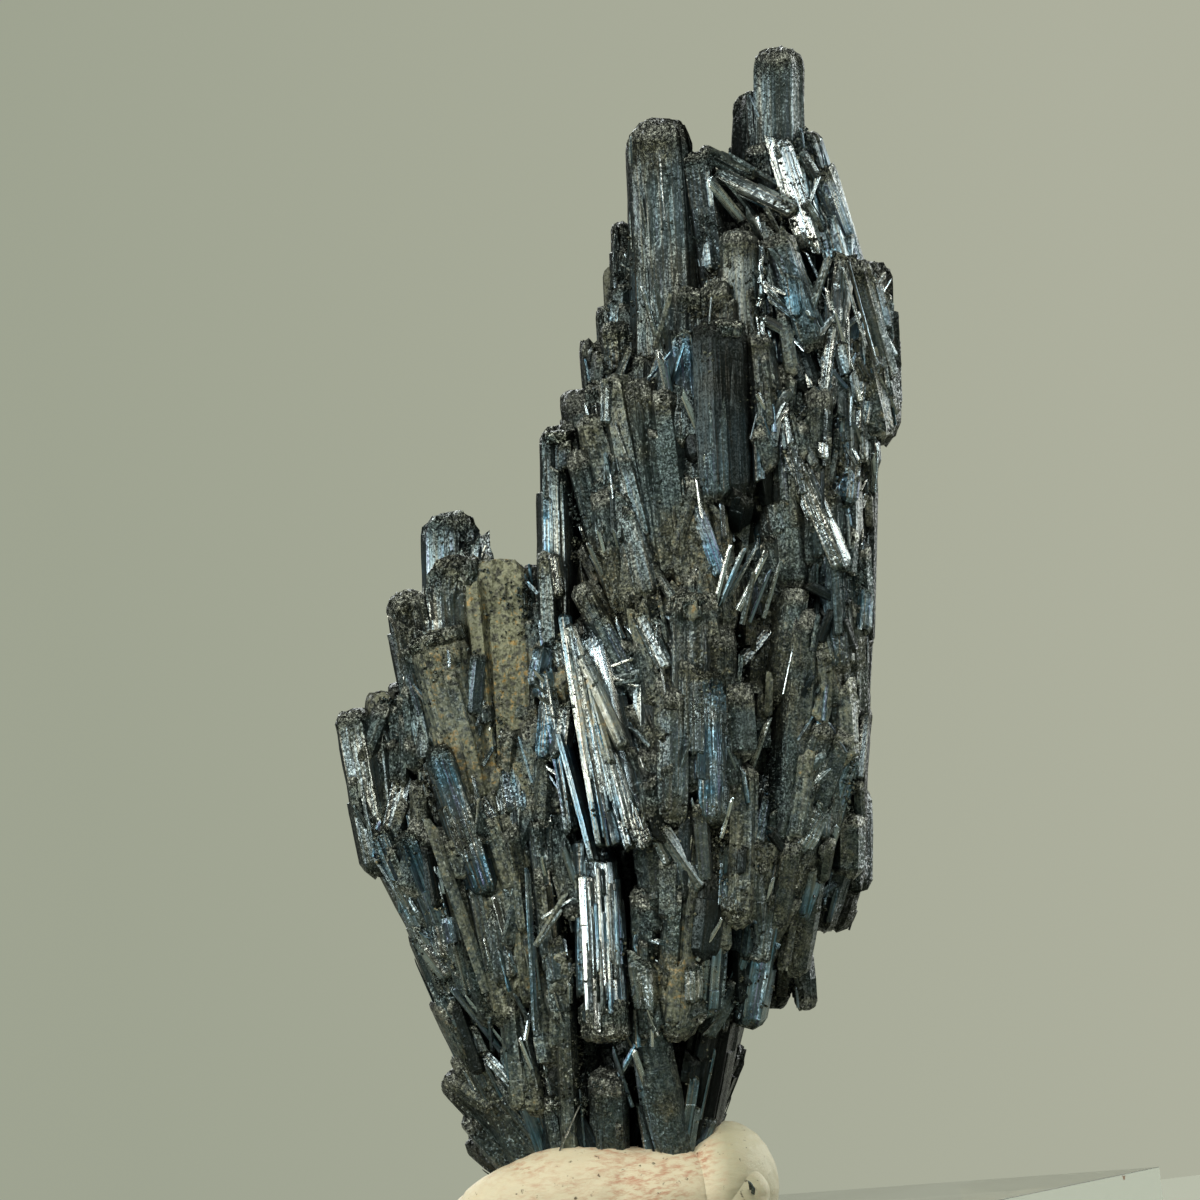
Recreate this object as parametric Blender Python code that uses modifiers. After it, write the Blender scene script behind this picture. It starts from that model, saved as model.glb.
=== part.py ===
"""Stibnite specimen: a cluster of grown-together crystals, held upright by a lump of
mounting putty on a clear acrylic block.

Metres, +Z up. The origin is the centre of the block's underside. The crystals are written in
millimetres on a sheet that stands square to the viewer, who is on the -Y side: x to the right,
z up, and "forward" is how far a crystal stands towards the viewer from the middle of the cluster.
The whole sheet then leans to the right, as the cluster does on its block.
"""

import math
import random
from collections import namedtuple

import bmesh
import bpy
from mathutils import Matrix, Vector

MM = 0.001

# The block, in millimetres and degrees
BLOCK_SIDE = 40.0
BLOCK_HEIGHT = 12.0
BLOCK_TURN = -39.0
BLOCK_EDGE = 0.5

# How the cluster stands: the point of the sheet at its foot, where that comes, and the lean
SHEET_FOOT = (-4.6, 0.0, 14.3)
STANDS_AT = (0.39, 0.0, 13.7)
LEAN = 7.0

# The gap left where one piece fits another
FIT_GAP = 0.3

# A crystal narrower than this is left out of the solid, and from the next one up it has a worn tip
NARROWEST = 1.15
TIPPED = 1.6

# The rear of the cluster repeats the broad crystals of the front in another order
REAR_SEED = 7
REAR_SHARE = 0.42
REAR_NARROWEST = 1.4
REAR_WIDER = 1.3

Crystal = namedtuple("Crystal", "tip_x tip_z foot_x foot_z tip_forward foot_forward wide deep")

# The two towers at the top and what leans on them
SUMMIT = [
    Crystal(3.95, 72.2, 4.3, 57.0, 0.6, 0.4, 2.6, 2.5),
    Crystal(2.25, 69.9, 3.2, 61.0, 0.4, 1.0, 0.8, 0.9),
    Crystal(3.7, 67.8, 6.1, 59.0, 2.0, 2.6, 2.0, 1.8),
    Crystal(2.9, 67.2, 4.9, 58.0, 1.4, 2.2, 1.3, 1.8),
    Crystal(5.3, 67.8, 8.3, 58.5, 0.2, 1.0, 1.4, 1.8),
    Crystal(6.1, 65.9, 8.6, 57.5, 0.9, 1.2, 1.3, 1.6),
    Crystal(6.9, 63.8, 8.9, 55.0, -0.4, 0.6, 1.5, 2.0),
    Crystal(7.9, 62.0, 8.6, 53.0, -0.6, 0.4, 1.7, 2.2),
    Crystal(8.85, 60.8, 8.8, 51.0, 0.6, 0.8, 1.7, 2.4),
    Crystal(7.9, 61.0, 8.2, 51.0, 2.2, 2.4, 1.6, 2.2),
]
LEFT_TOWER = [
    Crystal(-1.8, 68.3, -0.9, 55.0, 2.2, 3.0, 3.0, 2.8),
    Crystal(-3.1, 67.4, -2.8, 54.5, 1.6, 2.6, 1.4, 2.4),
    Crystal(-0.6, 67.0, 0.6, 57.0, 1.8, 2.6, 1.6, 2.2),
    Crystal(-4.0, 63.3, -3.5, 52.0, 0.8, 1.6, 1.2, 1.8),
    Crystal(-4.65, 59.2, -4.0, 49.0, 1.0, 2.0, 1.2, 2.0),
    Crystal(-5.35, 57.2, -4.4, 47.0, 1.4, 2.4, 1.2, 2.2),
    Crystal(-4.3, 58.3, -3.6, 48.0, 2.2, 3.2, 1.3, 2.4),
    Crystal(-6.2, 54.9, -5.0, 45.0, 1.8, 3.0, 1.4, 2.4),
    Crystal(-5.2, 55.3, -4.4, 46.0, 2.6, 3.4, 1.4, 2.4),
]
BETWEEN_THE_TOWERS = [
    Crystal(-0.2, 67.0, 3.6, 65.4, 1.2, 1.4, 1.2, 1.4),
    Crystal(0.6, 65.8, 4.8, 63.4, 2.2, 2.4, 1.2, 1.5),
    Crystal(1.0, 64.4, 4.2, 59.5, 1.6, 2.2, 1.9, 2.2),
    Crystal(2.6, 63.6, 4.2, 57.5, 2.0, 2.8, 1.6, 2.2),
]

# The upper front of the main mass
UPPER_FRONT = [
    Crystal(1.8, 62.8, 2.2, 53.0, 3.6, 4.2, 2.3, 2.6),
    Crystal(3.7, 62.6, 5.4, 57.0, 3.8, 4.0, 1.7, 2.2),
    Crystal(7.2, 61.6, 6.2, 54.0, 2.8, 3.6, 1.4, 2.2),
    Crystal(0.9, 60.3, 0.7, 54.0, 4.3, 4.6, 1.9, 2.2),
    Crystal(-0.5, 60.0, -0.5, 52.0, 3.8, 4.6, 1.4, 2.2),
    Crystal(0.9, 58.3, 1.3, 49.5, 5.6, 5.8, 2.8, 2.4),
    Crystal(2.6, 57.7, 3.2, 51.0, 4.8, 5.2, 1.6, 2.2),
    Crystal(4.1, 56.2, 4.8, 45.0, 4.0, 4.8, 2.0, 2.6),
    Crystal(5.7, 55.0, 5.4, 46.0, 4.2, 4.8, 1.6, 2.4),
    Crystal(4.35, 52.4, 7.0, 46.0, 5.0, 5.2, 1.3, 2.2),
    Crystal(7.0, 56.0, 7.4, 43.0, 3.0, 3.6, 1.6, 2.6),
    Crystal(8.2, 55.2, 7.9, 42.0, 1.6, 2.0, 1.5, 2.6),
    Crystal(8.25, 51.2, 7.7, 38.0, 0.2, 0.4, 1.4, 2.4),
    Crystal(6.2, 50.0, 6.8, 41.0, 4.4, 4.8, 1.5, 2.2),
]
OLIVE_FAN = [
    Crystal(-4.3, 55.6, -2.3, 45.0, 4.0, 4.8, 1.7, 2.4),
    Crystal(-3.0, 55.4, -1.6, 45.5, 4.6, 5.2, 1.8, 2.4),
    Crystal(-1.8, 54.8, -0.6, 45.0, 5.0, 5.4, 1.4, 2.4),
    Crystal(-5.4, 53.7, -3.2, 44.5, 3.6, 4.6, 1.8, 2.4),
    Crystal(-7.05, 53.1, -6.7, 38.0, 2.4, 3.2, 1.95, 2.8),
    Crystal(-6.0, 51.9, -3.8, 43.5, 3.8, 4.8, 1.5, 2.4),
    Crystal(-4.9, 50.0, -3.2, 41.5, 4.6, 5.4, 1.7, 2.4),
    Crystal(0.3, 50.4, 0.9, 43.0, 5.2, 5.8, 1.9, 2.4),
]

# The middle of the cluster, with the two bright crystals that hang forward
MIDDLE = [
    Crystal(-0.55, 44.9, -0.4, 35.0, 6.6, 6.8, 2.6, 3.0),
    Crystal(1.0, 43.2, 1.2, 35.0, 6.2, 6.4, 1.9, 2.8),
    Crystal(-2.6, 45.2, -1.6, 38.5, 5.6, 6.2, 1.7, 2.6),
    Crystal(-5.9, 45.3, -2.9, 39.5, 5.0, 5.8, 1.5, 2.6),
    Crystal(-7.5, 46.8, -7.1, 38.0, 3.6, 3.8, 1.25, 2.6),
    Crystal(-1.4, 40.2, -1.5, 33.5, 7.2, 7.0, 2.0, 2.8),
    Crystal(0.4, 41.0, 0.6, 33.5, 7.0, 6.8, 1.8, 2.8),
    Crystal(1.7, 36.5, 1.6, 28.5, 5.8, 5.8, 2.0, 3.0),
    Crystal(-0.5, 33.6, -1.3, 23.0, 6.2, 5.2, 2.4, 3.2),
    Crystal(0.9, 33.0, 0.2, 24.0, 5.8, 4.8, 1.6, 3.0),
    Crystal(-2.7, 37.5, -2.1, 29.0, 6.0, 5.8, 2.0, 3.0),
    Crystal(-2.8, 30.4, -2.7, 22.5, 5.8, 5.0, 1.6, 2.8),
]
BRIGHT_PAIR = [
    Crystal(-3.6, 32.3, -7.1, 45.2, 7.8, 4.6, 2.3, 2.0),
    Crystal(-2.5, 32.9, -4.7, 39.6, 7.9, 6.2, 1.5, 2.2),
    Crystal(-4.5, 22.8, -4.9, 32.2, 6.8, 5.8, 2.5, 2.4),
]

# The right side, down to the prongs that overhang it
RIGHT_SIDE = [
    Crystal(5.0, 44.2, 4.4, 33.0, 4.6, 5.0, 2.3, 3.0),
    Crystal(6.6, 44.5, 6.0, 32.5, 3.8, 4.2, 2.0, 3.0),
    Crystal(7.45, 44.5, 7.2, 31.0, 2.2, 2.4, 1.7, 2.8),
    Crystal(7.8, 40.4, 7.5, 30.6, 0.6, 0.8, 1.4, 2.6),
    Crystal(7.4, 37.0, 4.7, 28.6, 3.8, 3.8, 1.3, 2.4),
    Crystal(7.2, 38.2, 4.3, 30.0, 4.6, 4.8, 1.4, 2.4),
    Crystal(6.2, 38.4, 4.0, 32.5, 5.2, 5.4, 1.7, 2.2),
    Crystal(7.7, 34.2, 5.9, 28.2, 2.0, 1.6, 1.5, 2.6),
    Crystal(7.5, 29.8, 7.0, 35.0, 1.2, 1.6, 1.5, 2.0),
    Crystal(5.8, 33.8, 4.5, 26.0, 3.8, 3.0, 1.6, 2.8),
    Crystal(4.2, 34.2, 3.0, 26.5, 5.0, 4.2, 1.8, 2.8),
    Crystal(3.4, 30.0, 2.3, 23.5, 4.6, 3.6, 1.9, 2.8),
    Crystal(5.2, 24.1, 4.5, 31.0, 1.8, 2.4, 1.3, 1.9),
    Crystal(3.7, 24.2, 3.8, 30.5, 1.2, 1.8, 1.6, 2.0),
]

# The foot that stands in the putty
FOOT = [
    Crystal(1.6, 27.6, -0.5, 16.5, 2.8, 2.0, 2.2, 3.0),
    Crystal(1.8, 25.4, -0.3, 16.5, 0.2, 0.2, 1.7, 2.8),
    Crystal(0.5, 26.2, -1.0, 16.0, 4.2, 2.8, 1.9, 2.8),
    Crystal(-3.1, 24.2, -1.9, 16.0, 4.6, 3.0, 1.3, 2.2),
    Crystal(-4.9, 21.8, -4.9, 16.0, 4.4, 3.2, 1.9, 2.4),
    Crystal(-6.9, 27.2, -6.5, 18.0, 4.6, 3.4, 1.2, 2.4),
    Crystal(-12.5, 20.9, -9.0, 17.2, 1.0, 1.0, 1.9, 2.4),
    Crystal(-12.0, 22.0, -9.0, 18.4, 2.0, 2.0, 1.7, 2.4),
    Crystal(-11.6, 18.9, -8.6, 15.6, 0.8, 0.6, 1.5, 2.2),
    Crystal(-9.6, 22.5, -7.6, 16.6, 3.2, 2.0, 1.6, 2.6),
]
LOWER_LEFT_FAN = [
    Crystal(-7.9, 33.5, -7.2, 26.0, 4.4, 4.0, 1.4, 2.6),
    Crystal(-9.6, 34.0, -8.6, 24.5, 4.0, 3.8, 1.6, 2.6),
    Crystal(-11.4, 33.4, -9.4, 23.5, 3.8, 3.6, 2.0, 2.8),
    Crystal(-12.8, 33.2, -10.4, 23.5, 3.8, 3.2, 1.4, 2.6),
    Crystal(-14.6, 33.0, -11.6, 25.0, 3.4, 3.0, 1.6, 2.6),
    Crystal(-15.9, 33.2, -12.1, 24.4, 2.6, 2.4, 1.5, 2.4),
    Crystal(-14.0, 28.2, -10.6, 20.0, 2.6, 2.2, 1.6, 2.4),
    Crystal(-16.7, 33.4, -13.0, 26.4, 1.2, 1.4, 1.3, 2.2),
    Crystal(-12.9, 24.8, -9.4, 17.8, 2.6, 1.6, 1.5, 2.4),
    Crystal(-10.1, 28.2, -7.9, 19.0, 3.8, 2.8, 1.6, 2.8),
]

# The lower cluster on the left
FAR_LEFT = [
    Crystal(-17.4, 39.0, -15.8, 31.0, 1.6, 1.8, 1.9, 2.2),
    Crystal(-15.9, 39.9, -14.8, 31.0, 1.4, 1.6, 1.7, 2.2),
    Crystal(-15.0, 40.4, -14.0, 32.0, 0.4, 1.0, 1.3, 2.2),
]
LEFT_CLUSTER = [
    Crystal(-14.8, 44.9, -12.2, 33.0, 2.0, 2.4, 2.1, 2.4),
    Crystal(-13.4, 44.3, -11.6, 34.0, 1.0, 1.4, 1.8, 2.4),
    Crystal(-13.15, 42.9, -10.4, 32.0, 3.6, 3.8, 2.8, 2.6),
    Crystal(-13.0, 37.3, -10.6, 30.0, 4.4, 4.4, 1.9, 2.4),
    Crystal(-9.9, 46.4, -9.2, 33.0, 2.6, 3.2, 3.1, 2.8),
    Crystal(-11.2, 45.3, -9.9, 33.0, 2.8, 3.2, 1.3, 2.6),
    Crystal(-8.4, 46.2, -8.2, 36.0, 1.8, 2.4, 1.2, 2.4),
    Crystal(-8.0, 38.6, -7.6, 32.0, 3.6, 3.8, 2.0, 2.6),
    Crystal(-12.75, 49.0, -12.0, 36.0, -2.6, -1.6, 1.9, 2.2),
    Crystal(-11.5, 47.6, -11.3, 36.0, -2.8, -1.6, 1.7, 2.2),
]

FRONT = (
    SUMMIT
    + LEFT_TOWER
    + BETWEEN_THE_TOWERS
    + UPPER_FRONT
    + OLIVE_FAN
    + MIDDLE
    + BRIGHT_PAIR
    + RIGHT_SIDE
    + FOOT
    + LOWER_LEFT_FAN
    + FAR_LEFT
    + LEFT_CLUSTER
)

# The solid heart that the crystals grow from: height, left, right and half its depth
Level = namedtuple("Level", "z left right half_depth")
MAIN_HEART = [
    Level(17.5, -7.6, -0.3, 2.4),
    Level(21.0, -8.0, 0.8, 3.6),
    Level(26.0, -8.0, 2.8, 4.8),
    Level(32.0, -7.4, 6.8, 5.8),
    Level(39.0, -6.8, 7.2, 6.0),
    Level(45.0, -6.2, 7.2, 5.6),
    Level(50.0, -5.4, 7.6, 5.0),
    Level(55.0, -3.8, 8.0, 4.2),
    Level(60.0, -2.6, 7.6, 3.0),
    Level(63.5, -1.2, 5.4, 2.0),
]
LEFT_HEART = [
    Level(18.0, -9.6, -6.0, 1.8),
    Level(22.0, -10.6, -6.0, 2.8),
    Level(28.0, -12.4, -6.2, 3.6),
    Level(33.0, -14.8, -6.4, 3.7),
    Level(37.5, -15.0, -6.8, 3.2),
    Level(42.0, -13.2, -7.8, 2.4),
]

# The root: the end of the heart that the putty grips, measured from the floor
ROOT_LOW = 14.0
ROOT_HIGH = 19.0
ROOT_CENTRE_X = 0.2
ROOT_LOW_RADII = (3.4, 2.0)
ROOT_HIGH_RADII = (4.3, 2.8)

# The putty: a flattened roll, and its end curled up at the right
ROLL_CENTRE = (-0.2, 0.0, 12.6)
ROLL_RADII = (8.2, 6.4, 4.3)
CURL_CENTRE = (6.1, -0.8, 13.4)
CURL_RADII = (2.9, 4.6, 3.9)
PUTTY_SEGMENTS = 24
PUTTY_RINGS = 14


LEANED = (
    Matrix.Translation(STANDS_AT)
    @ Matrix.Rotation(math.radians(LEAN), 4, "Y")
    @ Matrix.Translation(-Vector(SHEET_FOOT))
)


def collection(name, helper=False):
    made = bpy.data.collections.new(name)
    made.hide_render = helper
    bpy.context.scene.collection.children.link(made)
    return made


def add_object(name, mesh_builder, into, helper=False):
    """An object from a bmesh in millimetres."""
    mesh = bpy.data.meshes.new(name)
    mesh_builder.transform(Matrix.Scale(MM, 4))
    bmesh.ops.recalc_face_normals(mesh_builder, faces=mesh_builder.faces)
    mesh_builder.to_mesh(mesh)
    mesh_builder.free()
    made = bpy.data.objects.new(name, mesh)
    into.objects.link(made)
    if helper:
        made.hide_render = True
        made.display_type = "WIRE"
    return made


def boolean(target, operation, other):
    cut = target.modifiers.new(operation.lower(), "BOOLEAN")
    cut.operation = operation
    cut.solver = "EXACT"
    if isinstance(other, bpy.types.Collection):
        cut.operand_type = "COLLECTION"
        cut.collection = other
    else:
        cut.object = other


def finish(target, colour, roughness, metallic=0.0, transmission=0.0):
    made = bpy.data.materials.new(target.name)
    made.use_nodes = True
    shader = made.node_tree.nodes["Principled BSDF"]
    shader.inputs["Base Color"].default_value = (*colour, 1.0)
    shader.inputs["Roughness"].default_value = roughness
    shader.inputs["Metallic"].default_value = metallic
    shader.inputs["Transmission Weight"].default_value = transmission
    target.data.materials.append(made)


def prism_turn(order):
    """How far a crystal is rolled about its own length, by its place in the list."""
    return math.radians(16.0 * math.sin(2.7 * order))


def facing_frame(along):
    """Axes with Z along the crystal, X across the sheet and Y away from the viewer."""
    up = along.normalized()
    across = Vector((0.0, 1.0, 0.0)).cross(up).normalized()
    return Matrix((across, up.cross(across), up)).transposed().to_4x4()


def build_crystal(crystal, order):
    """A flattened six-sided prism. A broad one has a smaller tip, cut a little askew."""
    tip = Vector((crystal.tip_x, -crystal.tip_forward, crystal.tip_z))
    foot = Vector((crystal.foot_x, -crystal.foot_forward, crystal.foot_z))
    along = tip - foot
    tipped = crystal.wide >= TIPPED
    cap = min(0.35 * crystal.wide, 0.2 * along.length) if tipped else 0.0
    made = bmesh.new()
    bmesh.ops.create_cone(
        made,
        cap_ends=True,
        segments=6,
        radius1=0.55,
        radius2=0.53 if tipped else 0.46,
        depth=along.length - cap,
    )
    if tipped:
        top = max(made.faces, key=lambda face: face.calc_center_median().z)
        raised = bmesh.ops.extrude_discrete_faces(made, faces=[top])["faces"][0]
        askew = 0.5 * math.sin(4.1 * order)
        for corner in raised.verts:
            corner.co.x *= 0.62
            corner.co.y *= 0.62
            corner.co.z += cap + askew * cap * corner.co.x
    made.transform(
        LEANED
        @ Matrix.Translation((foot + tip - along.normalized() * cap) / 2)
        @ facing_frame(along)
        @ Matrix.Rotation(prism_turn(order), 4, "Z")
        @ Matrix.Diagonal((crystal.wide, crystal.deep, 1.0, 1.0))
    )
    return made


def build_heart(levels):
    """A loft through rounded oblong sections, one for each level."""
    made = bmesh.new()
    corners = 12
    rings = []
    for level in levels:
        centre = (level.left + level.right) / 2
        half = (level.right - level.left) / 2
        ring = []
        for step in range(corners):
            angle = 2 * math.pi * (step + 0.5) / corners
            across = math.copysign(abs(math.cos(angle)) ** 0.75, math.cos(angle))
            deep = math.copysign(abs(math.sin(angle)) ** 0.75, math.sin(angle))
            ring.append(made.verts.new((centre + half * across, level.half_depth * deep, level.z)))
        rings.append(ring)
    for low, high in zip(rings, rings[1:]):
        for step in range(corners):
            after = (step + 1) % corners
            made.faces.new((low[step], low[after], high[after], high[step]))
    made.faces.new(list(reversed(rings[0])))
    made.faces.new(rings[-1])
    made.transform(LEANED)
    return made


def build_root(grow=0.0):
    made = bmesh.new()
    height = ROOT_HIGH - ROOT_LOW + 2 * grow
    bmesh.ops.create_cone(made, cap_ends=True, segments=16, radius1=1.0, radius2=1.0, depth=height)
    for corner in made.verts:
        radii = ROOT_LOW_RADII if corner.co.z < 0 else ROOT_HIGH_RADII
        corner.co.x = ROOT_CENTRE_X + corner.co.x * (radii[0] + grow)
        corner.co.y *= radii[1] + grow
        corner.co.z += (ROOT_LOW + ROOT_HIGH) / 2
    return made


def build_lump(centre, radii, grow=0.0):
    """A soft round lump, squashed flat where it is pressed on the block."""
    made = bmesh.new()
    bmesh.ops.create_uvsphere(made, u_segments=PUTTY_SEGMENTS, v_segments=PUTTY_RINGS, radius=1.0)
    floor = BLOCK_HEIGHT + FIT_GAP
    for corner in made.verts:
        for axis in range(3):
            corner.co[axis] = centre[axis] + corner.co[axis] * (radii[axis] + grow)
    bmesh.ops.bisect_plane(
        made,
        geom=made.verts[:] + made.edges[:] + made.faces[:],
        plane_co=(0.0, 0.0, floor),
        plane_no=(0.0, 0.0, -1.0),
        clear_outer=True,
    )
    bmesh.ops.holes_fill(made, edges=[edge for edge in made.edges if edge.is_boundary])
    return made


def rear_crystals():
    """Broad crystals for the rear, set from those of the front but moved and shortened."""
    chance = random.Random(REAR_SEED)
    made = []
    for crystal in FRONT:
        kept = chance.random() < REAR_SHARE
        shift = chance.uniform(-0.8, 0.8)
        lower = chance.uniform(0.2, 3.2)
        lean = chance.uniform(-0.7, 0.7)
        inward = 0.94
        if not kept or crystal.wide < REAR_NARROWEST or crystal in BRIGHT_PAIR:
            continue
        made.append(
            crystal._replace(
                tip_x=crystal.tip_x * inward + shift,
                foot_x=crystal.foot_x * inward + shift + lean,
                tip_z=crystal.tip_z - lower,
                tip_forward=-crystal.tip_forward,
                foot_forward=-crystal.foot_forward,
                wide=crystal.wide * REAR_WIDER,
            )
        )
    return made


def shells_of(made):
    """The faces of each closed shell in a bmesh."""
    left = set(made.faces)
    shells = []
    while left:
        shell = [left.pop()]
        for face in shell:
            for edge in face.edges:
                for beside in edge.link_faces:
                    if beside in left:
                        left.remove(beside)
                        shell.append(beside)
        shells.append(shell)
    return shells


def keep_largest_shell(target):
    """Takes the joined shape as it stands, without the crumbs and pockets that the joins leave."""
    evaluated = target.evaluated_get(bpy.context.evaluated_depsgraph_get())
    made = bmesh.new()
    made.from_mesh(evaluated.to_mesh())
    shells = sorted(shells_of(made), key=len)
    crumbs = [face for shell in shells[:-1] for face in shell]
    bmesh.ops.delete(made, geom=crumbs, context="FACES")
    target.modifiers.clear()
    made.to_mesh(target.data)
    made.free()


def clear_scene():
    for old in list(bpy.data.objects):
        bpy.data.objects.remove(old)


def make_block(specimen):
    made = bmesh.new()
    bmesh.ops.create_cube(made, size=1.0)
    bmesh.ops.scale(made, verts=made.verts, vec=(BLOCK_SIDE, BLOCK_SIDE, BLOCK_HEIGHT))
    block = add_object("acrylic_block", made, specimen)
    block.location = (0.0, 0.0, BLOCK_HEIGHT / 2 * MM)
    block.rotation_euler = (0.0, 0.0, math.radians(BLOCK_TURN))
    edge = block.modifiers.new("polished edges", "BEVEL")
    edge.width = BLOCK_EDGE * MM
    edge.segments = 1
    finish(block, (0.9, 0.94, 0.92), 0.04, transmission=1.0)


def make_putty(specimen, cutters):
    putty = add_object("mounting_putty", build_lump(ROLL_CENTRE, ROLL_RADII), specimen)
    curl = add_object("putty_curl", build_lump(CURL_CENTRE, CURL_RADII), cutters, helper=True)
    socket = add_object("root_socket", build_root(grow=FIT_GAP), cutters, helper=True)
    boolean(putty, "UNION", curl)
    boolean(putty, "DIFFERENCE", socket)
    finish(putty, (0.66, 0.57, 0.38), 0.75)


def make_cluster(specimen, cutters):
    crystals = collection("crystals to join", helper=True)
    cluster = add_object("stibnite_cluster", build_heart(MAIN_HEART), specimen)
    add_object("left_heart", build_heart(LEFT_HEART), crystals, helper=True)
    broad = [crystal for crystal in FRONT if crystal.wide >= NARROWEST]
    for order, crystal in enumerate(broad + rear_crystals()):
        add_object(f"crystal_{order:03d}", build_crystal(crystal, order), crystals, helper=True)
    boolean(cluster, "UNION", crystals)
    for name, centre, radii in (
        ("roll_clearance", ROLL_CENTRE, ROLL_RADII),
        ("curl_clearance", CURL_CENTRE, CURL_RADII),
    ):
        clearance = add_object(name, build_lump(centre, radii, grow=FIT_GAP), cutters, helper=True)
        boolean(cluster, "DIFFERENCE", clearance)
    root = add_object("root", build_root(), cutters, helper=True)
    boolean(cluster, "UNION", root)
    keep_largest_shell(cluster)
    finish(cluster, (0.13, 0.16, 0.17), 0.35, metallic=1.0)


def main():
    clear_scene()
    specimen = collection("stibnite specimen")
    cutters = collection("cutters", helper=True)
    make_block(specimen)
    make_putty(specimen, cutters)
    make_cluster(specimen, cutters)


main()
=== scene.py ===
"""A stibnite specimen in a studio: a cluster of dark, striated crystals that stands in a roll of
mounting putty on a clear acrylic block."""

import math
import random
from collections import namedtuple

import bmesh
import bpy
import numpy as np
from mathutils import Matrix, Vector, noise


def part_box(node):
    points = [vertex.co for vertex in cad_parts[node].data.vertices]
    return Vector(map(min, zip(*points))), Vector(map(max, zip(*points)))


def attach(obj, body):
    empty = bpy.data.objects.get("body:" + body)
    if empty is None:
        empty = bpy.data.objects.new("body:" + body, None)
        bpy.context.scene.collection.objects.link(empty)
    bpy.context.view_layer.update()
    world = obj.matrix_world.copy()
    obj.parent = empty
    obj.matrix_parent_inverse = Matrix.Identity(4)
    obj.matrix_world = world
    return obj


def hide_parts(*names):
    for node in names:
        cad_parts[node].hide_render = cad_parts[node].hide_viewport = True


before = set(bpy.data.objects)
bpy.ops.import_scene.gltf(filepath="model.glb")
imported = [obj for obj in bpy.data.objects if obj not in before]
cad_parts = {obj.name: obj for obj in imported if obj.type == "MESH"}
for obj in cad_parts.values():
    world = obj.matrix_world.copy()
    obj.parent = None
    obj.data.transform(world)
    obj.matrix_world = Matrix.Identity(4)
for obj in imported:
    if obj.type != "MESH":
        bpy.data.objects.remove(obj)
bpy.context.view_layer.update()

# The camera
# A long lens, level with the middle of the crystals. The picture is turned by the same angle as
# the cluster leans, so the cluster stands straight in it and the block does not.
MM = 0.001
LEAN = math.radians(7.0)
lens = bpy.data.cameras.new("long lens")
lens.lens, lens.sensor_width = 300.0, 36.0
lens.clip_start, lens.clip_end = 0.02, 20.0
camera = bpy.data.objects.new("camera", lens)
camera.matrix_world = (
    Matrix.Translation((3.67 * MM, -500.0 * MM, 43.72 * MM))
    @ Matrix.Rotation(LEAN, 4, "Y")
    @ Matrix.Rotation(math.pi / 2, 4, "X")
)
bpy.context.scene.collection.objects.link(camera)
bpy.context.scene.camera = camera
bpy.context.scene.view_settings.view_transform = "Standard"


# The studio
# A pale floor, a sage paper sheet far behind, and soft boxes: a tall one at the left, one high in
# front, a low strip at the right and two behind. The room is dark, so the metal keeps its contrast.
def fill(node, values):
    """Sets a node's inputs, each to a plain value or to the output of another node."""
    for slot, value in values.items():
        if isinstance(value, bpy.types.NodeSocket):
            node.id_data.links.new(value, node.inputs[slot])
        else:
            node.inputs[slot].default_value = value


def wire(tree, kind, values=None, **settings):
    """Adds a node, sets its properties and fills its inputs."""
    made = tree.nodes.new("ShaderNode" + kind)
    for name, value in settings.items():
        setattr(made, name, value)
    fill(made, values or {})
    return made


def ramp(value, low, low_colour, high, high_colour):
    """A colour that fades from one to another between two values."""
    made = wire(value.id_data, "ValToRGB", {"Fac": value})
    for stop, place, colour in zip(made.color_ramp.elements, (low, high), (low_colour, high_colour)):
        stop.position, stop.color = place, (*colour, 1.0)
    return made.outputs["Color"]


def new_material(name):
    """A material with its node tree and its main shader."""
    made = bpy.data.materials.new(name)
    made.use_nodes = True
    return made, made.node_tree, made.node_tree.nodes["Principled BSDF"]


def lay_sheet(name, side, place, colour, glow):
    """A square sheet of paper that also glows a little."""
    mesh = bpy.data.meshes.new(name)
    half = side / 2
    corners = [(-half, -half, 0), (half, -half, 0), (half, half, 0), (-half, half, 0)]
    mesh.from_pydata(corners, [], [(0, 1, 2, 3)])
    sheet = bpy.data.objects.new(name, mesh)
    sheet.matrix_world = place
    bpy.context.scene.collection.objects.link(sheet)
    paper, tree, shader = new_material(name)
    flat = (*colour, 1.0)
    fill(shader, {"Base Color": flat, "Roughness": 0.9, "Emission Color": flat, "Emission Strength": glow})
    mesh.materials.append(paper)
    return tree, shader


SAGE = (0.392, 0.412, 0.318)
AIR_GAP = 0.05 * MM
lay_sheet("floor", 0.36, Matrix.Translation((0.0, 0.0, -AIR_GAP)), (0.115, 0.120, 0.092), 1.9)
behind = Matrix.Translation((0.0, 0.9, 0.04)) @ Matrix.Rotation(math.pi / 2, 4, "X")
tree, shader = lay_sheet("backdrop", 0.5, behind, SAGE, 1.0)
across = wire(tree, "SeparateXYZ", {0: wire(tree, "TexCoord").outputs["Generated"]}).outputs["X"]
# Painted light falloff: the paper's glow is darker at the left and paler at the right
light_falloff = ramp(across, 0.36, (0.345, 0.368, 0.283), 0.66, (0.420, 0.432, 0.340))
fill(shader, {"Base Color": (0, 0, 0, 1), "Specular IOR Level": 0.0, "Emission Color": light_falloff})

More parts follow.
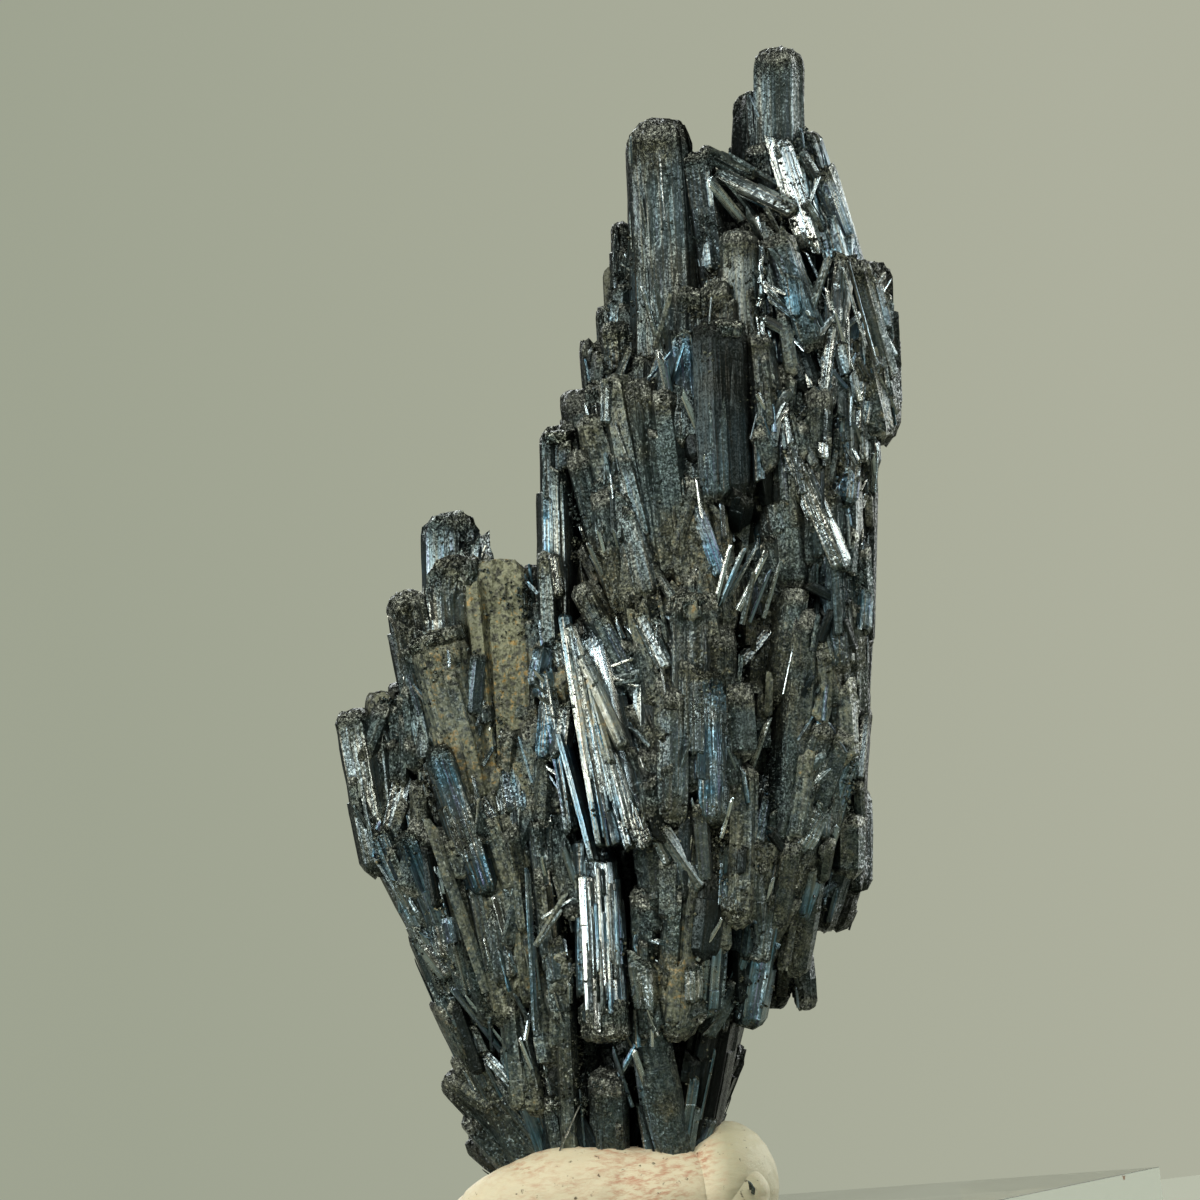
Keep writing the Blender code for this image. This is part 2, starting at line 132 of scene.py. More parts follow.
world = bpy.data.worlds.new("studio")
bpy.context.scene.world = world
world.use_nodes = True
sky = world.node_tree
sky.nodes.clear()
seen, dark_room, pale_room = (
    wire(sky, "Background", {"Color": (*colour, 1.0), "Strength": strength}).outputs[0]
    for colour, strength in ((SAGE, 1.0), ((0.80, 0.86, 0.80), 0.05), ((0.92, 0.94, 0.88), 0.36))
)
path = wire(sky, "LightPath").outputs
on_metal = path["Is Glossy Ray"]
for ray in (path["Is Singular Ray"], path["Is Transmission Ray"]):
    less = wire(sky, "Math", {0: on_metal, 1: ray}, operation="SUBTRACT", use_clamp=True)
    on_metal = less.outputs[0]
by_gloss = wire(sky, "MixShader", {0: on_metal, 1: pale_room, 2: dark_room})
either = wire(sky, "MixShader", {0: path["Is Camera Ray"], 1: by_gloss.outputs[0], 2: seen})
wire(sky, "OutputWorld", {"Surface": either.outputs[0]})

MIDDLE_OF_CLUSTER = Vector((0.004, 0.0, 0.042))
soft_boxes = {}
for name, place, width, height, watts, tint in (
    ("left box", (-0.34, -0.26, 0.16), 0.14, 0.30, 1.95, (1.0, 1.0, 0.96)),
    ("high box", (0.06, -0.30, 0.42), 0.22, 0.12, 1.5, (1.0, 1.0, 0.95)),
    ("right strip", (0.36, -0.12, 0.10), 0.06, 0.30, 0.6, (1.0, 0.99, 0.94)),
    ("rim box", (-0.12, 0.34, 0.26), 0.22, 0.16, 1.0, (0.95, 1.0, 1.0)),
    ("rear box", (0.36, 0.30, 0.16), 0.14, 0.30, 1.9, (0.97, 1.0, 0.98)),
):
    lamp = bpy.data.lights.new(name, "AREA")
    lamp.shape = "RECTANGLE"
    lamp.size, lamp.size_y, lamp.energy, lamp.color = width, height, watts, tint
    box = soft_boxes[name] = bpy.data.objects.new(name, lamp)
    box.location = place
    box.rotation_euler = (MIDDLE_OF_CLUSTER - Vector(place)).to_track_quat("-Z", "Y").to_euler()
    bpy.context.scene.collection.objects.link(box)


# The block
# A 40 mm square of clear cast acrylic with flame-polished edges. It carries a little rust-brown
# dust that has fallen from the putty. Light linking keeps three of the soft boxes off it.
def speckle(vector, scale, detail, rough=0.5):
    """Cloudy noise."""
    values = {"Vector": vector, "Scale": scale, "Detail": detail, "Roughness": rough}
    return wire(vector.id_data, "TexNoise", values).outputs["Fac"]


acrylic, clear, shader = new_material("clear acrylic")
where = wire(clear, "TexCoord").outputs["Object"]
spots = ramp(speckle(where, 900.0, 2.0), 0.735, (0.93, 0.97, 0.95), 0.76, (0.20, 0.06, 0.03))
wavy = wire(clear, "Bump", {"Height": speckle(where, 160.0, 3.0), "Strength": 0.05, "Distance": 0.00005})
fill(shader, {"Base Color": spots, "Normal": wavy.outputs["Normal"]})
fill(shader, {"Transmission Weight": 1.0, "IOR": 1.49, "Roughness": 0.0})

low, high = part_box("acrylic_block")
SIDE, EDGE, TURN = 40.0 * MM, 0.04 * MM, math.radians(-39.0)
mesh = bpy.data.meshes.new("polished_block")
shape = bmesh.new()
bmesh.ops.create_cube(shape, size=1.0)
for corner in shape.verts:
    x, y, z = corner.co
    corner.co = Vector((x * SIDE, y * SIDE, low[2] + (z + 0.5) * (high[2] - low[2])))
bmesh.ops.bevel(shape, geom=shape.edges[:], offset=EDGE, segments=3, profile=0.5, affect="EDGES")
bmesh.ops.rotate(shape, verts=shape.verts, cent=(0, 0, 0), matrix=Matrix.Rotation(TURN, 3, "Z"))
shape.to_mesh(mesh)
shape.free()
block = bpy.data.objects.new("polished_block", mesh)
bpy.context.scene.collection.objects.link(block)
mesh.materials.append(acrylic)
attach(block, "root")
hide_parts("acrylic_block")
behind_the_card = bpy.data.collections.new("behind the card")
behind_the_card.objects.link(block)
for name in ("left box", "rim box", "rear box"):
    soft_boxes[name].light_linking.receiver_collection = behind_the_card
behind_the_card.collection_objects[0].light_linking.link_state = "EXCLUDE"


# The putty
# A roll of cream mounting putty, pressed down on the block and round the foot of the cluster, with
# its right end curled over. It is smeared with rust-red from handling.
def press_putty(name, lumps, voxel, crease):
    """Joins round lumps of putty, flattens them on the block and kneads the surface."""
    mesh = bpy.data.meshes.new(name)
    corners, faces = [], []
    rings, steps = 20, 36
    for centre, radii, tilt in lumps:
        turn = Matrix.Rotation(math.radians(tilt), 3, "Y")
        start = len(corners)
        for ring in range(1, rings):
            up = math.pi * ring / rings
            for step in range(steps):
                round_ = 2 * math.pi * step / steps
                out = math.sin(up)
                place = Vector((out * math.cos(round_), out * math.sin(round_), math.cos(up)))
                corners.append(turn @ (place * Vector(radii)) + Vector(centre))
        top, bottom = len(corners), len(corners) + 1
        corners.append(turn @ Vector((0, 0, radii[2])) + Vector(centre))
        corners.append(turn @ Vector((0, 0, -radii[2])) + Vector(centre))
        for ring in range(rings - 2):
            for step in range(steps):
                after = (step + 1) % steps
                low, high = start + (ring + 1) * steps, start + ring * steps
                faces.append((high + step, low + step, low + after, high + after))
        for step in range(steps):
            after = (step + 1) % steps
            faces.append((top, start + step, start + after))
            last = start + (rings - 2) * steps
            faces.append((bottom, last + after, last + step))
    mesh.from_pydata([corner * MM for corner in corners], [], faces)
    lump = bpy.data.objects.new(name, mesh)
    bpy.context.scene.collection.objects.link(lump)
    join = lump.modifiers.new("join", "REMESH")
    join.mode, join.voxel_size = "VOXEL", voxel * MM
    lump.modifiers.new("soften", "SMOOTH").iterations = 6
    bpy.context.view_layer.update()
    pressed = lump.evaluated_get(bpy.context.evaluated_depsgraph_get())
    made = bpy.data.meshes.new_from_object(pressed)
    lump.modifiers.clear()
    lump.data = made
    floor = 12.3 * MM
    for corner in made.vertices:
        place = corner.co / MM
        knead = noise.fractal(place * 0.35, 0.9, 2.1, 3) * crease
        pits = max(0.0, noise.noise(place * 1.6) - 0.32) * crease * 1.4
        print_lines = 0.016 * math.sin(7.0 * (place.x * 0.3 + place.z + noise.noise(place * 0.5)))
        corner.co += corner.normal * (knead - pits + print_lines) * MM
        if corner.co.z < floor:
            corner.co.z = floor + (corner.co.z - floor) * 0.02
    for face in made.polygons:
        face.use_smooth = True
    return lump


def span(value, low, high, to_low=0.0, to_high=1.0):
    """Stretches a value from one range to another and keeps it inside."""
    values = {"Value": value, "From Min": low, "From Max": high, "To Min": to_low, "To Max": to_high}
    return wire(value.id_data, "MapRange", values).outputs["Result"]


def plus(first, second, kind="ADD"):
    """The sum of two values, either of which may be a plain number."""
    tree = (second if isinstance(first, float) else first).id_data
    return wire(tree, "Math", {0: first, 1: second}, operation=kind).outputs[0]


def times(first, second):
    """One value times another."""
    return plus(first, second, "MULTIPLY")


def blend(amount, first, second, tree=None, **settings):
    """Mixes two colours, either of which may be a plain one."""
    first, second = ((*value, 1.0) if isinstance(value, tuple) else value for value in (first, second))
    values = {"Factor": amount, 6: first, 7: second}
    return wire(tree or amount.id_data, "Mix", values, data_type="RGBA", **settings).outputs[2]


cream, dough, shader = new_material("mounting putty")
where = wire(dough, "TexCoord").outputs["Object"]
stretched = wire(
    dough, "Mapping", {"Vector": where, "Scale": (1500.0, 2600.0, 4600.0), "Rotation": (0.0, 0.5, 0.3)}
)
streaks = speckle(stretched.outputs["Vector"], 1.0, 6.0, 0.7)
along_roll = wire(dough, "SeparateXYZ", {0: where}).outputs["X"]
on_roll = span(along_roll, 0.0056, 0.0066, 1.0, 0.12)
stained = times(span(along_roll, -0.007, 0.0045, 0.6, 1.0), on_roll)
stained = times(stained, span(speckle(where, 420.0, 4.0), 0.38, 0.60, 0.15, 1.0))
stained = times(stained, span(streaks, 0.45, 0.62, 0.0, 0.85))
tone = blend(on_roll, (0.295, 0.280, 0.175), (0.50, 0.445, 0.30))
rusty = blend(stained, tone, (0.33, 0.13, 0.062))
specks = ramp(speckle(where, 2600.0, 3.0), 0.27, (0.16, 0.13, 0.08), 0.34, (1.0, 1.0, 1.0))
grimy = blend(1.0, rusty, specks, dough, blend_type="MULTIPLY")
kneaded = wire(dough, "Bump", {"Height": streaks, "Distance": 0.00012, "Strength": 0.5})
fill(shader, {"Base Color": grimy, "Normal": kneaded.outputs["Normal"], "Roughness": 0.62})
fill(shader, {"Subsurface Weight": 0.12, "Subsurface Scale": 1.0})
fill(shader, {"Subsurface Radius": (0.0012, 0.0008, 0.0005)})

putty_roll = press_putty(
    "putty_roll",
    [
        ((-0.4, 0.2, 12.5), (7.7, 6.0, 4.1), 2.0),
        ((-1.2, -3.7, 14.2), (5.9, 2.7, 2.8), -1.0),
        ((2.4, -3.6, 14.0), (4.4, 2.8, 2.6), 0.0),
    ],
    0.28,
    0.14,
)
putty_curl = press_putty("putty_curl", [((6.25, -1.3, 14.1), (2.75, 4.7, 3.15), 4.0)], 0.22, 0.12)
putty_fold = press_putty("putty_fold", [((6.9, -4.6, 13.1), (1.5, 1.35, 2.0), 24.0)], 0.18, 0.10)
for piece in (putty_roll, putty_curl, putty_fold):
    piece.data.materials.clear()
    piece.data.materials.append(cream)
    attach(piece, "root")
    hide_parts("mounting_putty")


# The summit spire
# Stibnite grows as flat six-sided blades, ribbed along their length. The tallest ends in a worn,
# grainy cap, with thin rods at its left and a bundle that runs down its right flank.
MEASURES = "tip_x tip_z foot_x foot_z tip_forward foot_forward wide deep skin turn"
Crystal = namedtuple("Crystal", MEASURES, defaults=(None,))


def list_crystals(*rows):
    """The crystals of a group, from their measures."""
    return [Crystal(*row) for row in rows]


summit = list_crystals(
    (3.95, 72.0, 4.3, 57.0, 0.6, 0.4, 2.45, 2.5, "slate"),
    (2.42, 69.9, 3.0, 61.0, 0.4, 1.0, 0.55, 0.7, "haze"),
    (2.85, 69.4, 3.4, 61.0, 0.5, 1.0, 0.45, 0.6, "dark"),
    (3.75, 67.5, 5.5, 61.8, 2.0, 2.4, 1.35, 1.7, "gleam", -22),
    (2.9, 67.2, 4.9, 58.0, 1.3, 2.2, 1.5, 1.8, "steel"),
    (5.3, 67.8, 8.3, 58.5, 0.2, 1.0, 1.5, 1.8, "blue", -20),
    (6.1, 65.9, 8.6, 57.5, 0.9, 1.2, 1.4, 1.6, "haze", -24),
    (6.9, 63.8, 8.9, 55.0, -0.4, 0.6, 1.5, 2.0, "blue"),
    (8.35, 61.3, 8.7, 52.6, 0.6, 0.8, 2.7, 2.8, "dark"),
    (9.05, 59.6, 8.75, 53.2, 1.4, 1.6, 1.2, 2.0, "silver", 16),
    (7.7, 61.4, 8.2, 51.0, 1.9, 2.2, 1.6, 2.2, "steel"),
)

# The crystals are measured on a sheet that stands square to the viewer, and the sheet leans.
LEANED = (
    Matrix.Translation(Vector((0.39, 0.0, 13.7)) * MM)
    @ Matrix.Rotation(LEAN, 4, "Y")
    @ Matrix.Scale(MM, 4)
    @ Matrix.Translation((4.6, 0.0, -14.3))
)

# Each kind of surface: blue tarnish, ochre dust, gleam and grain, from 0 to 1; a dust below zero is
# painted shade, which darkens the surface towards black
SKINS = {
    "dark": (0.20, 0.22, 0.05, 0.62),
    "slate": (0.16, 0.04, 0.16, 0.34),
    "teal": (0.50, 0.04, 0.18, 0.40),
    "steel": (0.30, 0.12, 0.30, 0.50),
    "silver": (0.30, 0.10, 0.62, 0.32),
    "gleam": (0.35, 0.00, 1.00, 0.08),
    "mirror": (0.60, 0.06, 0.80, 0.10),
    "haze": (0.30, 0.04, 0.36, 0.34),
    # Painted shade: a skin painted near-black, for crystals in shade
    "night": (0.40, -1.00, 0.03, 0.22),
    "pale": (0.55, 0.08, 0.42, 0.22),
    "bone": (0.12, 0.46, 0.46, 0.22),
    "glitter": (0.05, 0.10, 0.80, 0.80),
    "blue": (1.00, 0.00, 0.44, 0.22),
    "olive": (0.15, 0.55, 0.20, 0.55),
    "ochre": (0.05, 0.95, 0.25, 0.70),
}
# How deep the ribs are on each kind of surface, where that isn't 1
RIBS = {
    "slate": 0.25, "haze": 0.3, "pale": 0.3, "night": 0.4,
    "teal": 0.5, "dark": 0.6, "blue": 0.7, "olive": 0.7,
}
grown = []


class Growth:
    """The corners and faces of the crystals that make one piece."""

    def __init__(self):
        self.corners, self.faces = [], []
        self.lie, self.skin, self.grain = [], [], []

    def add(self, place, local, shift, skin, grain):
        """One corner: where it is, where it lies on its crystal, and how it looks."""
        self.corners.append(place)
        self.lie.append(local + shift)
        self.skin.append(skin[:3])
        self.grain.append(grain)
        return len(self.corners) - 1

    def close_ring(self, low, high):
        """Faces between two rings of corners."""
        for here, after in zip(range(len(low)), [*range(1, len(low)), 0]):
            self.faces.append((low[here], low[after], high[after], high[here]))

    def build(self, name):
        """Makes the piece, in the place of the solid cluster."""
        mesh = bpy.data.meshes.new(name)
        mesh.from_pydata(self.corners, [], self.faces)
        for label, values in (("lie", self.lie), ("skin", self.skin)):
            held = mesh.attributes.new(label, "FLOAT_VECTOR", "POINT")
            held.data.foreach_set("vector", [number for value in values for number in value])
        held = mesh.attributes.new("grain", "FLOAT", "POINT")
        held.data.foreach_set("value", self.grain)
        mesh.materials.append(stibnite)
        piece = bpy.data.objects.new(name, mesh)
        bpy.context.scene.collection.objects.link(piece)
        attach(piece, "root")
        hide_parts("stibnite_cluster")
        grown.append(piece)
        return piece


def stand_along(tip, foot, roll):
    """A place at the foot with Z along the crystal, X across the sheet and Y away from us."""
    up = (tip - foot).normalized()
    side = Vector((0.0, 1.0, 0.0)).cross(up)
    if side.length < 0.05:
        side = Vector((1.0, 0.0, 0.0))
    side.normalize()
    turn = Matrix((side, up.cross(side), up)).transposed().to_4x4()
    return LEANED @ Matrix.Translation(foot) @ turn @ Matrix.Rotation(roll, 4, "Z")


def somewhere(chance):
    """A random shift, so that no two crystals have the same pattern."""
    return Vector((chance.uniform(0, 90), chance.uniform(0, 90), chance.uniform(0, 90)))


# Where the faces of an outline with six or eight corners meet, in degrees
FACES = {6: (-120, -60, 0, 60, 120, 180), 8: (-122, -58, -18, 22, 62, 118, 158, 198)}


def cut_outline(wide, deep, corners, segment, rib, chance):
    """The outline of a blade: points on flat faces, with ribs pressed in, and the way each looks."""
    turn = chance.uniform(-10, 10)
    edge = []
    for angle in FACES[corners]:
        way = math.radians(angle + turn + chance.uniform(-7, 7))
        out = chance.uniform(0.98, 1.12)
        edge.append(Vector((0.5 * wide * out * math.cos(way), 0.5 * deep * out * math.sin(way))))
    points = []
    for here, after in zip(edge, edge[1:] + edge[:1]):
        along = after - here
        outward = Vector((along.y, -along.x)).normalized()
        parts = max(1, round(along.length / segment))
        press = 0.0
        for part in range(parts):
            if part and chance.random() < 0.32:
                press = chance.choice((0.0, 0.3, 0.6, 1.0)) * rib
            points.append((here + along * (part / parts) - outward * (press if part else 0.0), outward))
    return points


def grow_prism(
    growth, place, length, wide, deep, skin, chance, corners=8, segment=0.22, blunt=False, rib=0.04
):
    """One blade with flat faces, ledges where a layer of it ends, and a worn or broken end."""
    points = cut_outline(wide, deep, corners, segment, rib * wide, chance)
    count = len(points)
    shift = somewhere(chance)
    cap = min((0.3 if blunt else 0.42) * wide, 0.2 * length)
    ledges = [[] for _ in points]
    levels = max(2, round(length / 1.1))
    heights = [cap + (length - 2 * cap) * level / levels for level in range(1, levels)]
    for _ in range(chance.choice((1, 2, 2, 3, 4)) if length > 4 else chance.choice((0, 1, 1))):
        height = length * chance.uniform(0.18, 0.92)
        first, run = chance.randrange(count), max(2, int(count * chance.uniform(0.10, 0.38)))
        drop = chance.uniform(0.04, 0.11) * min(wide, deep)
        for step in range(first, first + run):
            ledges[step % count].append((height, drop))
        heights += [height - 0.03, height + 0.03]
    bend = chance.uniform(-0.008, 0.008) * length
    slant = chance.uniform(-1.2, 1.2)
    ragged = [chance.choice((-0.10, -0.04, 0.0, 0.04, 0.09)) * wide for _ in points]
    rings = [(-0.25 * cap, 0.45), (0.1 * cap, 0.8), (0.6 * cap, 0.97)]
    rings += [(height, 1.0) for height in sorted(heights) if 0.8 * cap < height < length - cap]
    tapered = ((0.0, 1.0), (0.3, 0.98), (0.55, 0.92), (0.78, 0.80), (0.92, 0.62), (1.0, 0.38))
    ends = ((0.0, 1.0), (1.0, 0.9)) if blunt else tapered
    rings += [(length - cap + cap * rise, keep) for rise, keep in ends]
    previous = None
    for height, keep in rings:
        ring = []
        sway = bend * math.sin(math.pi * height / length)
        worn_and_lit = min(1.0, max(0.0, (height - (length - 1.8 * cap)) / (1.6 * cap), 0.8 - height / cap))
        for (flat, outward), stops, jag in zip(points, ledges, ragged):
            at = flat.copy()
            for stop, drop in stops:
                if height > stop:
                    at -= outward * drop
            at *= keep
            local = Vector((at.x + sway, at.y, height))
            rough = noise.noise((local + shift) * 1.9) * (0.014 + 0.03 * skin[3]) * wide
            if worn_and_lit > 0:
                rough += noise.noise((local + shift) * 4.2) * 0.05 * wide * worn_and_lit
                local.z += noise.noise((local + shift) * 3.1) * 0.3 * cap * worn_and_lit
                local.z += (slant * at.x / wide * cap * 2 + jag) * (worn_and_lit if blunt else 0.0)
            local.x += outward.x * rough
            local.y += outward.y * rough
            # Worn ends get a high grain, which the material paints pale: partly wear, partly a painted
            # highlight of the light on the caps
            grain = skin[3] + (0.8 - 0.3 * skin[2]) * worn_and_lit
            ring.append(growth.add(place @ local, local, shift, skin, min(1.0, grain)))
        if previous:
            growth.close_ring(previous, ring)
        else:
            growth.faces.append(tuple(reversed(ring)))
        previous = ring
    local = Vector((0, 0, length + (0.05 if blunt else 0.12) * cap))
    middle = growth.add(place @ local, local, shift, skin, 1.0)
    for step in range(count):
        growth.faces.append((previous[step], previous[(step + 1) % count], middle))


def both_ends(crystal, side):
    """The tip and the foot of a crystal. Side -1 has them as they stand, with Y away from us."""
    tip = Vector((crystal.tip_x, side * crystal.tip_forward, crystal.tip_z))
    return tip, Vector((crystal.foot_x, side * crystal.foot_forward, crystal.foot_z))


PUTTY_TOP, ROOT = 19.0, 2.6


def stand_crystal(crystal, order):
    """Where a listed crystal stands, and how long it is; one at the foot goes down into the putty."""
    tip, foot = both_ends(crystal, -1)
    if crystal.foot_z < PUTTY_TOP:
        foot -= (tip - foot).normalized() * ROOT
    turn = 12.0 * math.sin(2.7 * order) if crystal.turn is None else crystal.turn
    return stand_along(tip, foot, math.radians(turn)), (tip - foot).length


def grow_crystal(growth, crystal, order):
    """A listed crystal, with narrower blades fused to its sides, each ending lower than it does."""
    chance = random.Random(1000 + order)
    place, length = stand_crystal(crystal, order)
    skin = SKINS[crystal.skin]
    rib = 0.045 * RIBS.get(crystal.skin, 1.0)
    blunt = crystal.wide < 1.45 and chance.random() < 0.5
    grow_prism(growth, place, length, crystal.wide, crystal.deep, skin, chance, blunt=blunt, rib=rib)
    for _ in range(round(crystal.wide) if crystal.wide < 1.3 else chance.choice((2, 3, 3, 4))):
        share = chance.uniform(0.30, 0.60)
        angle = chance.choice((-150, -120, -90, -60, -30, 0, 60, 120, 180)) + chance.uniform(-12, 12)
        angle = math.radians(angle)
        reach = 0.5 - 0.5 * share + chance.uniform(0.02, 0.08)
        low = length * chance.uniform(0.0, 0.4)
        out = crystal.wide * reach * math.cos(angle), crystal.deep * reach * math.sin(angle)
        side = Matrix.Translation((*out, low))
        tall = min(length * chance.uniform(0.25, 0.6), 0.93 * length - low)
        wide, deep = crystal.wide * share, crystal.deep * share
        twin = skin
        if crystal.skin != "mirror" and chance.random() >= 0.6:
            twin = SKINS[chance.choice(("dark", "dark", "teal", "silver", "olive", "blue"))]
        grow_prism(growth, place @ side, tall, wide, deep, twin, chance, 6, 0.3, True, rib)


def grow_sliver(growth, place, length, wide, deep, skin, shift, chance):
    """A thin straight blade with five sides and a chisel end."""
    sides = 5
    low, high = [], []
    turn = chance.uniform(0, math.pi)
    end = Vector((chance.uniform(-0.3, 0.3) * wide, 0, length))
    for step in range(sides):
        angle = 2 * math.pi * step / sides + turn
        local = Vector((0.5 * wide * math.cos(angle), 0.5 * deep * math.sin(angle), 0.0))
        low.append(growth.add(place @ local, local, shift, skin, skin[3]))
        local = Vector((0.46 * wide * math.cos(angle), 0.46 * deep * math.sin(angle), 0))
        local.z = length - wide * (0.5 + 0.8 * math.cos(angle + turn))
        high.append(growth.add(place @ local, local, shift, skin, skin[3]))
    point = growth.add(place @ end, end, shift, skin, skin[3])
    for step in range(sides):
        after = (step + 1) % sides
        growth.faces.append((low[step], low[after], high[after], high[step]))
        growth.faces.append((high[step], high[after], point))
    growth.faces.append(tuple(reversed(low)))


def flat_face(angle):
    """How far a flat face of an outline of 1 mm radius is from its middle, in a direction."""
    angle = (angle + 162) % 360 - 162
    for first, last in zip((-162, *FACES[8][:7]), FACES[8]):
        if first <= angle <= last:
            half, middle = math.radians((last - first) / 2), math.radians(angle - (first + last) / 2)
            return math.cos(half) / math.cos(middle)
    return 1.0


def lay_slivers(growth, crystal, order, share=1.0):
    """Hair-thin blades grown on a crystal, nearly along it, each half sunk in its surface."""
    chance = random.Random(5000 + order)
    place, length = stand_crystal(crystal, order)
    for _ in range(int(share * (2 + 0.07 * (crystal.wide + crystal.deep) * length))):
        angle = chance.uniform(0, 2 * math.pi)
        blade = chance.uniform(0.8, 4.0) * (0.5 + 0.5 * min(1.0, length / 12))
        start = chance.uniform(0.0, max(0.2, length * 0.94 - blade))
        wide = chance.choice((0.10, 0.14, 0.18, 0.24)) * chance.uniform(0.8, 1.2)
        out = 0.5 * flat_face(math.degrees(angle))
        side = Vector((out * crystal.wide * math.cos(angle), out * crystal.deep * math.sin(angle), start))
        lean = Matrix.Rotation(math.radians(chance.gauss(0, 2.0)), 4, "Y")
        turned = Matrix.Rotation(angle + math.pi / 2, 4, "Z")
        skin = SKINS[crystal.skin]
        if chance.random() >= 0.6:
            skin = SKINS[chance.choice(("silver", "blue", "steel", "dark", "olive"))]
        shift = somewhere(chance)
        at = place @ Matrix.Translation(side) @ lean @ turned
        grow_sliver(growth, at, blade, wide, wide * chance.uniform(0.35, 0.7), skin, shift, chance)


# Stibnite: a soft lead-grey metal lustre, ribbed along each blade, tarnished blue and dusted ochre
stibnite, ore, shader = new_material("stibnite")
lie = wire(ore, "Attribute", attribute_name="lie").outputs["Vector"]
skin_of = wire(ore, "Attribute", attribute_name="skin").outputs["Vector"]
grain = wire(ore, "Attribute", attribute_name="grain").outputs["Fac"]
# How far each point is painted darker as shade, in the hollows and round the foot
hollow_shade = wire(ore, "Attribute", attribute_name="hollow_shade").outputs["Fac"]
blue, dust_and_shade, gleam = wire(ore, "SeparateXYZ", {0: skin_of}).outputs
where = wire(ore, "TexCoord").outputs["Object"]


def ribs_along(across, along, detail):
    """Noise in a crystal's own millimetres, drawn out along its length."""
    drawn = wire(ore, "Mapping", {"Vector": lie, "Scale": (across, across, along)})
    return speckle(drawn.outputs["Vector"], 1.0, detail, 0.6)


fine_ribs = ribs_along(10.0, 0.22, 4.0)
broad_ribs = ribs_along(4.0, 0.12, 3.0)
bands = ribs_along(6.0, 0.05, 2.0)
etching = speckle(where, 10500.0, 2.0, 0.7)
pits = speckle(where, 3600.0, 2.0, 0.6)
patches = speckle(where, 420.0, 4.0, 0.6)
clouds = speckle(where, 130.0, 3.0, 0.6)
tint = speckle(where, 240.0, 2.0, 0.6)

# Clean faces: lead grey to silver, ribbed, and tarnished teal with a little violet and orange
ribbed = plus(times(fine_ribs, 0.5), times(broad_ribs, 0.5))
streaky = times(span(ribbed, 0.38, 0.62, -1.0, 0.85), span(gleam, 0.0, 1.0, 0.06, 0.44))
clean = blend(span(tint, 0.44, 0.56), (0.031, 0.037, 0.026), (0.030, 0.055, 0.055))
silver = blend(span(bands, 0.44, 0.56), (0.58, 0.58, 0.50), (0.47, 0.57, 0.60))
clean = blend(span(plus(streaky, gleam), 0.0, 1.0), clean, silver)
flash = blend(span(bands, 0.58, 0.63), (0.095, 0.26, 0.37), (0.18, 0.17, 0.36))
flash = blend(span(bands, 0.40, 0.36), flash, (0.44, 0.33, 0.19))
flash = blend(span(gleam, 0.30, 0.80, 0.0, 0.7), flash, (0.32, 0.50, 0.64))
vivid = blend(span(fine_ribs, 0.40, 0.64, 0.1, 0.9), (0.027, 0.044, 0.044), flash)
clean = blend(times(blue, span(patches, 0.34, 0.62)), clean, vivid)
# Etched faces: black, with fine grains that are painted paler on the worn ends: partly wear, partly a
# painted highlight of the light on the caps
grains = blend(span(tint, 0.44, 0.56), (0.120, 0.123, 0.080), (0.086, 0.118, 0.110))
grains = blend(span(grain, 0.82, 1.0), grains, (0.31, 0.325, 0.270))
grains = blend(span(fine_ribs, 0.40, 0.60, 0.0, 0.25), grains, (0.075, 0.085, 0.078))
peppered = plus(times(etching, 0.6), times(pits, 0.4))
pepper = blend(span(peppered, 0.42, 0.62), (0.010, 0.013, 0.012), grains)
metal = blend(span(grain, 0.15, 0.80), clean, pepper)
# Dust: olive and beige clay, rusty in places
cover = plus(plus(clouds, times(pits, 0.5)), times(dust_and_shade, 0.35))
cover = plus(cover, times(fine_ribs, 0.3))
dusted = times(span(cover, 1.00, 1.24, 0.0, 0.9), span(dust_and_shade, 0.0, 0.75))
coat = blend(span(patches, 0.42, 0.66), (0.128, 0.134, 0.080), (0.208, 0.214, 0.128))
coat = blend(span(plus(pits, clouds), 1.19, 1.29), coat, (0.30, 0.20, 0.06))
coat = blend(span(pits, 0.38, 0.50, 0.85, 0.0), coat, (0.035, 0.035, 0.025))
# Painted shade: near-black mixed into the colour in the hollows and round the foot, and on the crystals
# whose dust is below zero
painted_shade_mix = times(plus(hollow_shade, span(dust_and_shade, 0.0, -1.0)), 0.82)
colour = blend(painted_shade_mix, blend(dusted, metal, coat), (0.006, 0.008, 0.007))
film = plus(times(dusted, 0.85), span(gleam, 0.06, 0.5, 0.24, 0.0))
matt = plus(span(gleam, 0.0, 1.0, 0.33, 0.22), times(grain, 0.03))
matt = plus(matt, times(dusted, 0.3))
matt = plus(matt, span(patches, 0.3, 0.7, -0.06, 0.08))
# Fine relief: the ribs, the grains, and tiny grains that each face their own way
rib_bump = wire(ore, "Bump", {"Height": ribbed, "Distance": 0.00008, "Strength": 0.75}).outputs["Normal"]
facets = wire(ore, "TexVoronoi", {"Vector": where, "Scale": 5200.0}).outputs["Distance"]
rough = {"Height": plus(facets, etching), "Strength": times(grain, 0.45)}
grainy = wire(ore, "Bump", {"Distance": 0.00010, "Normal": rib_bump, **rough}).outputs["Normal"]
glints = wire(ore, "TexVoronoi", {"Vector": where, "Scale": 11500.0}).outputs["Color"]
tilted = wire(ore, "VectorMath", {0: glints, 1: (0.5, 0.5, 0.5)}, operation="SUBTRACT").outputs[0]
how_much = plus(times(grain, 0.95), 0.05)
tilted = wire(ore, "VectorMath", {0: tilted, "Scale": how_much}, operation="SCALE").outputs[0]
turned = wire(ore, "VectorMath", {0: grainy, 1: tilted}, operation="ADD").outputs[0]
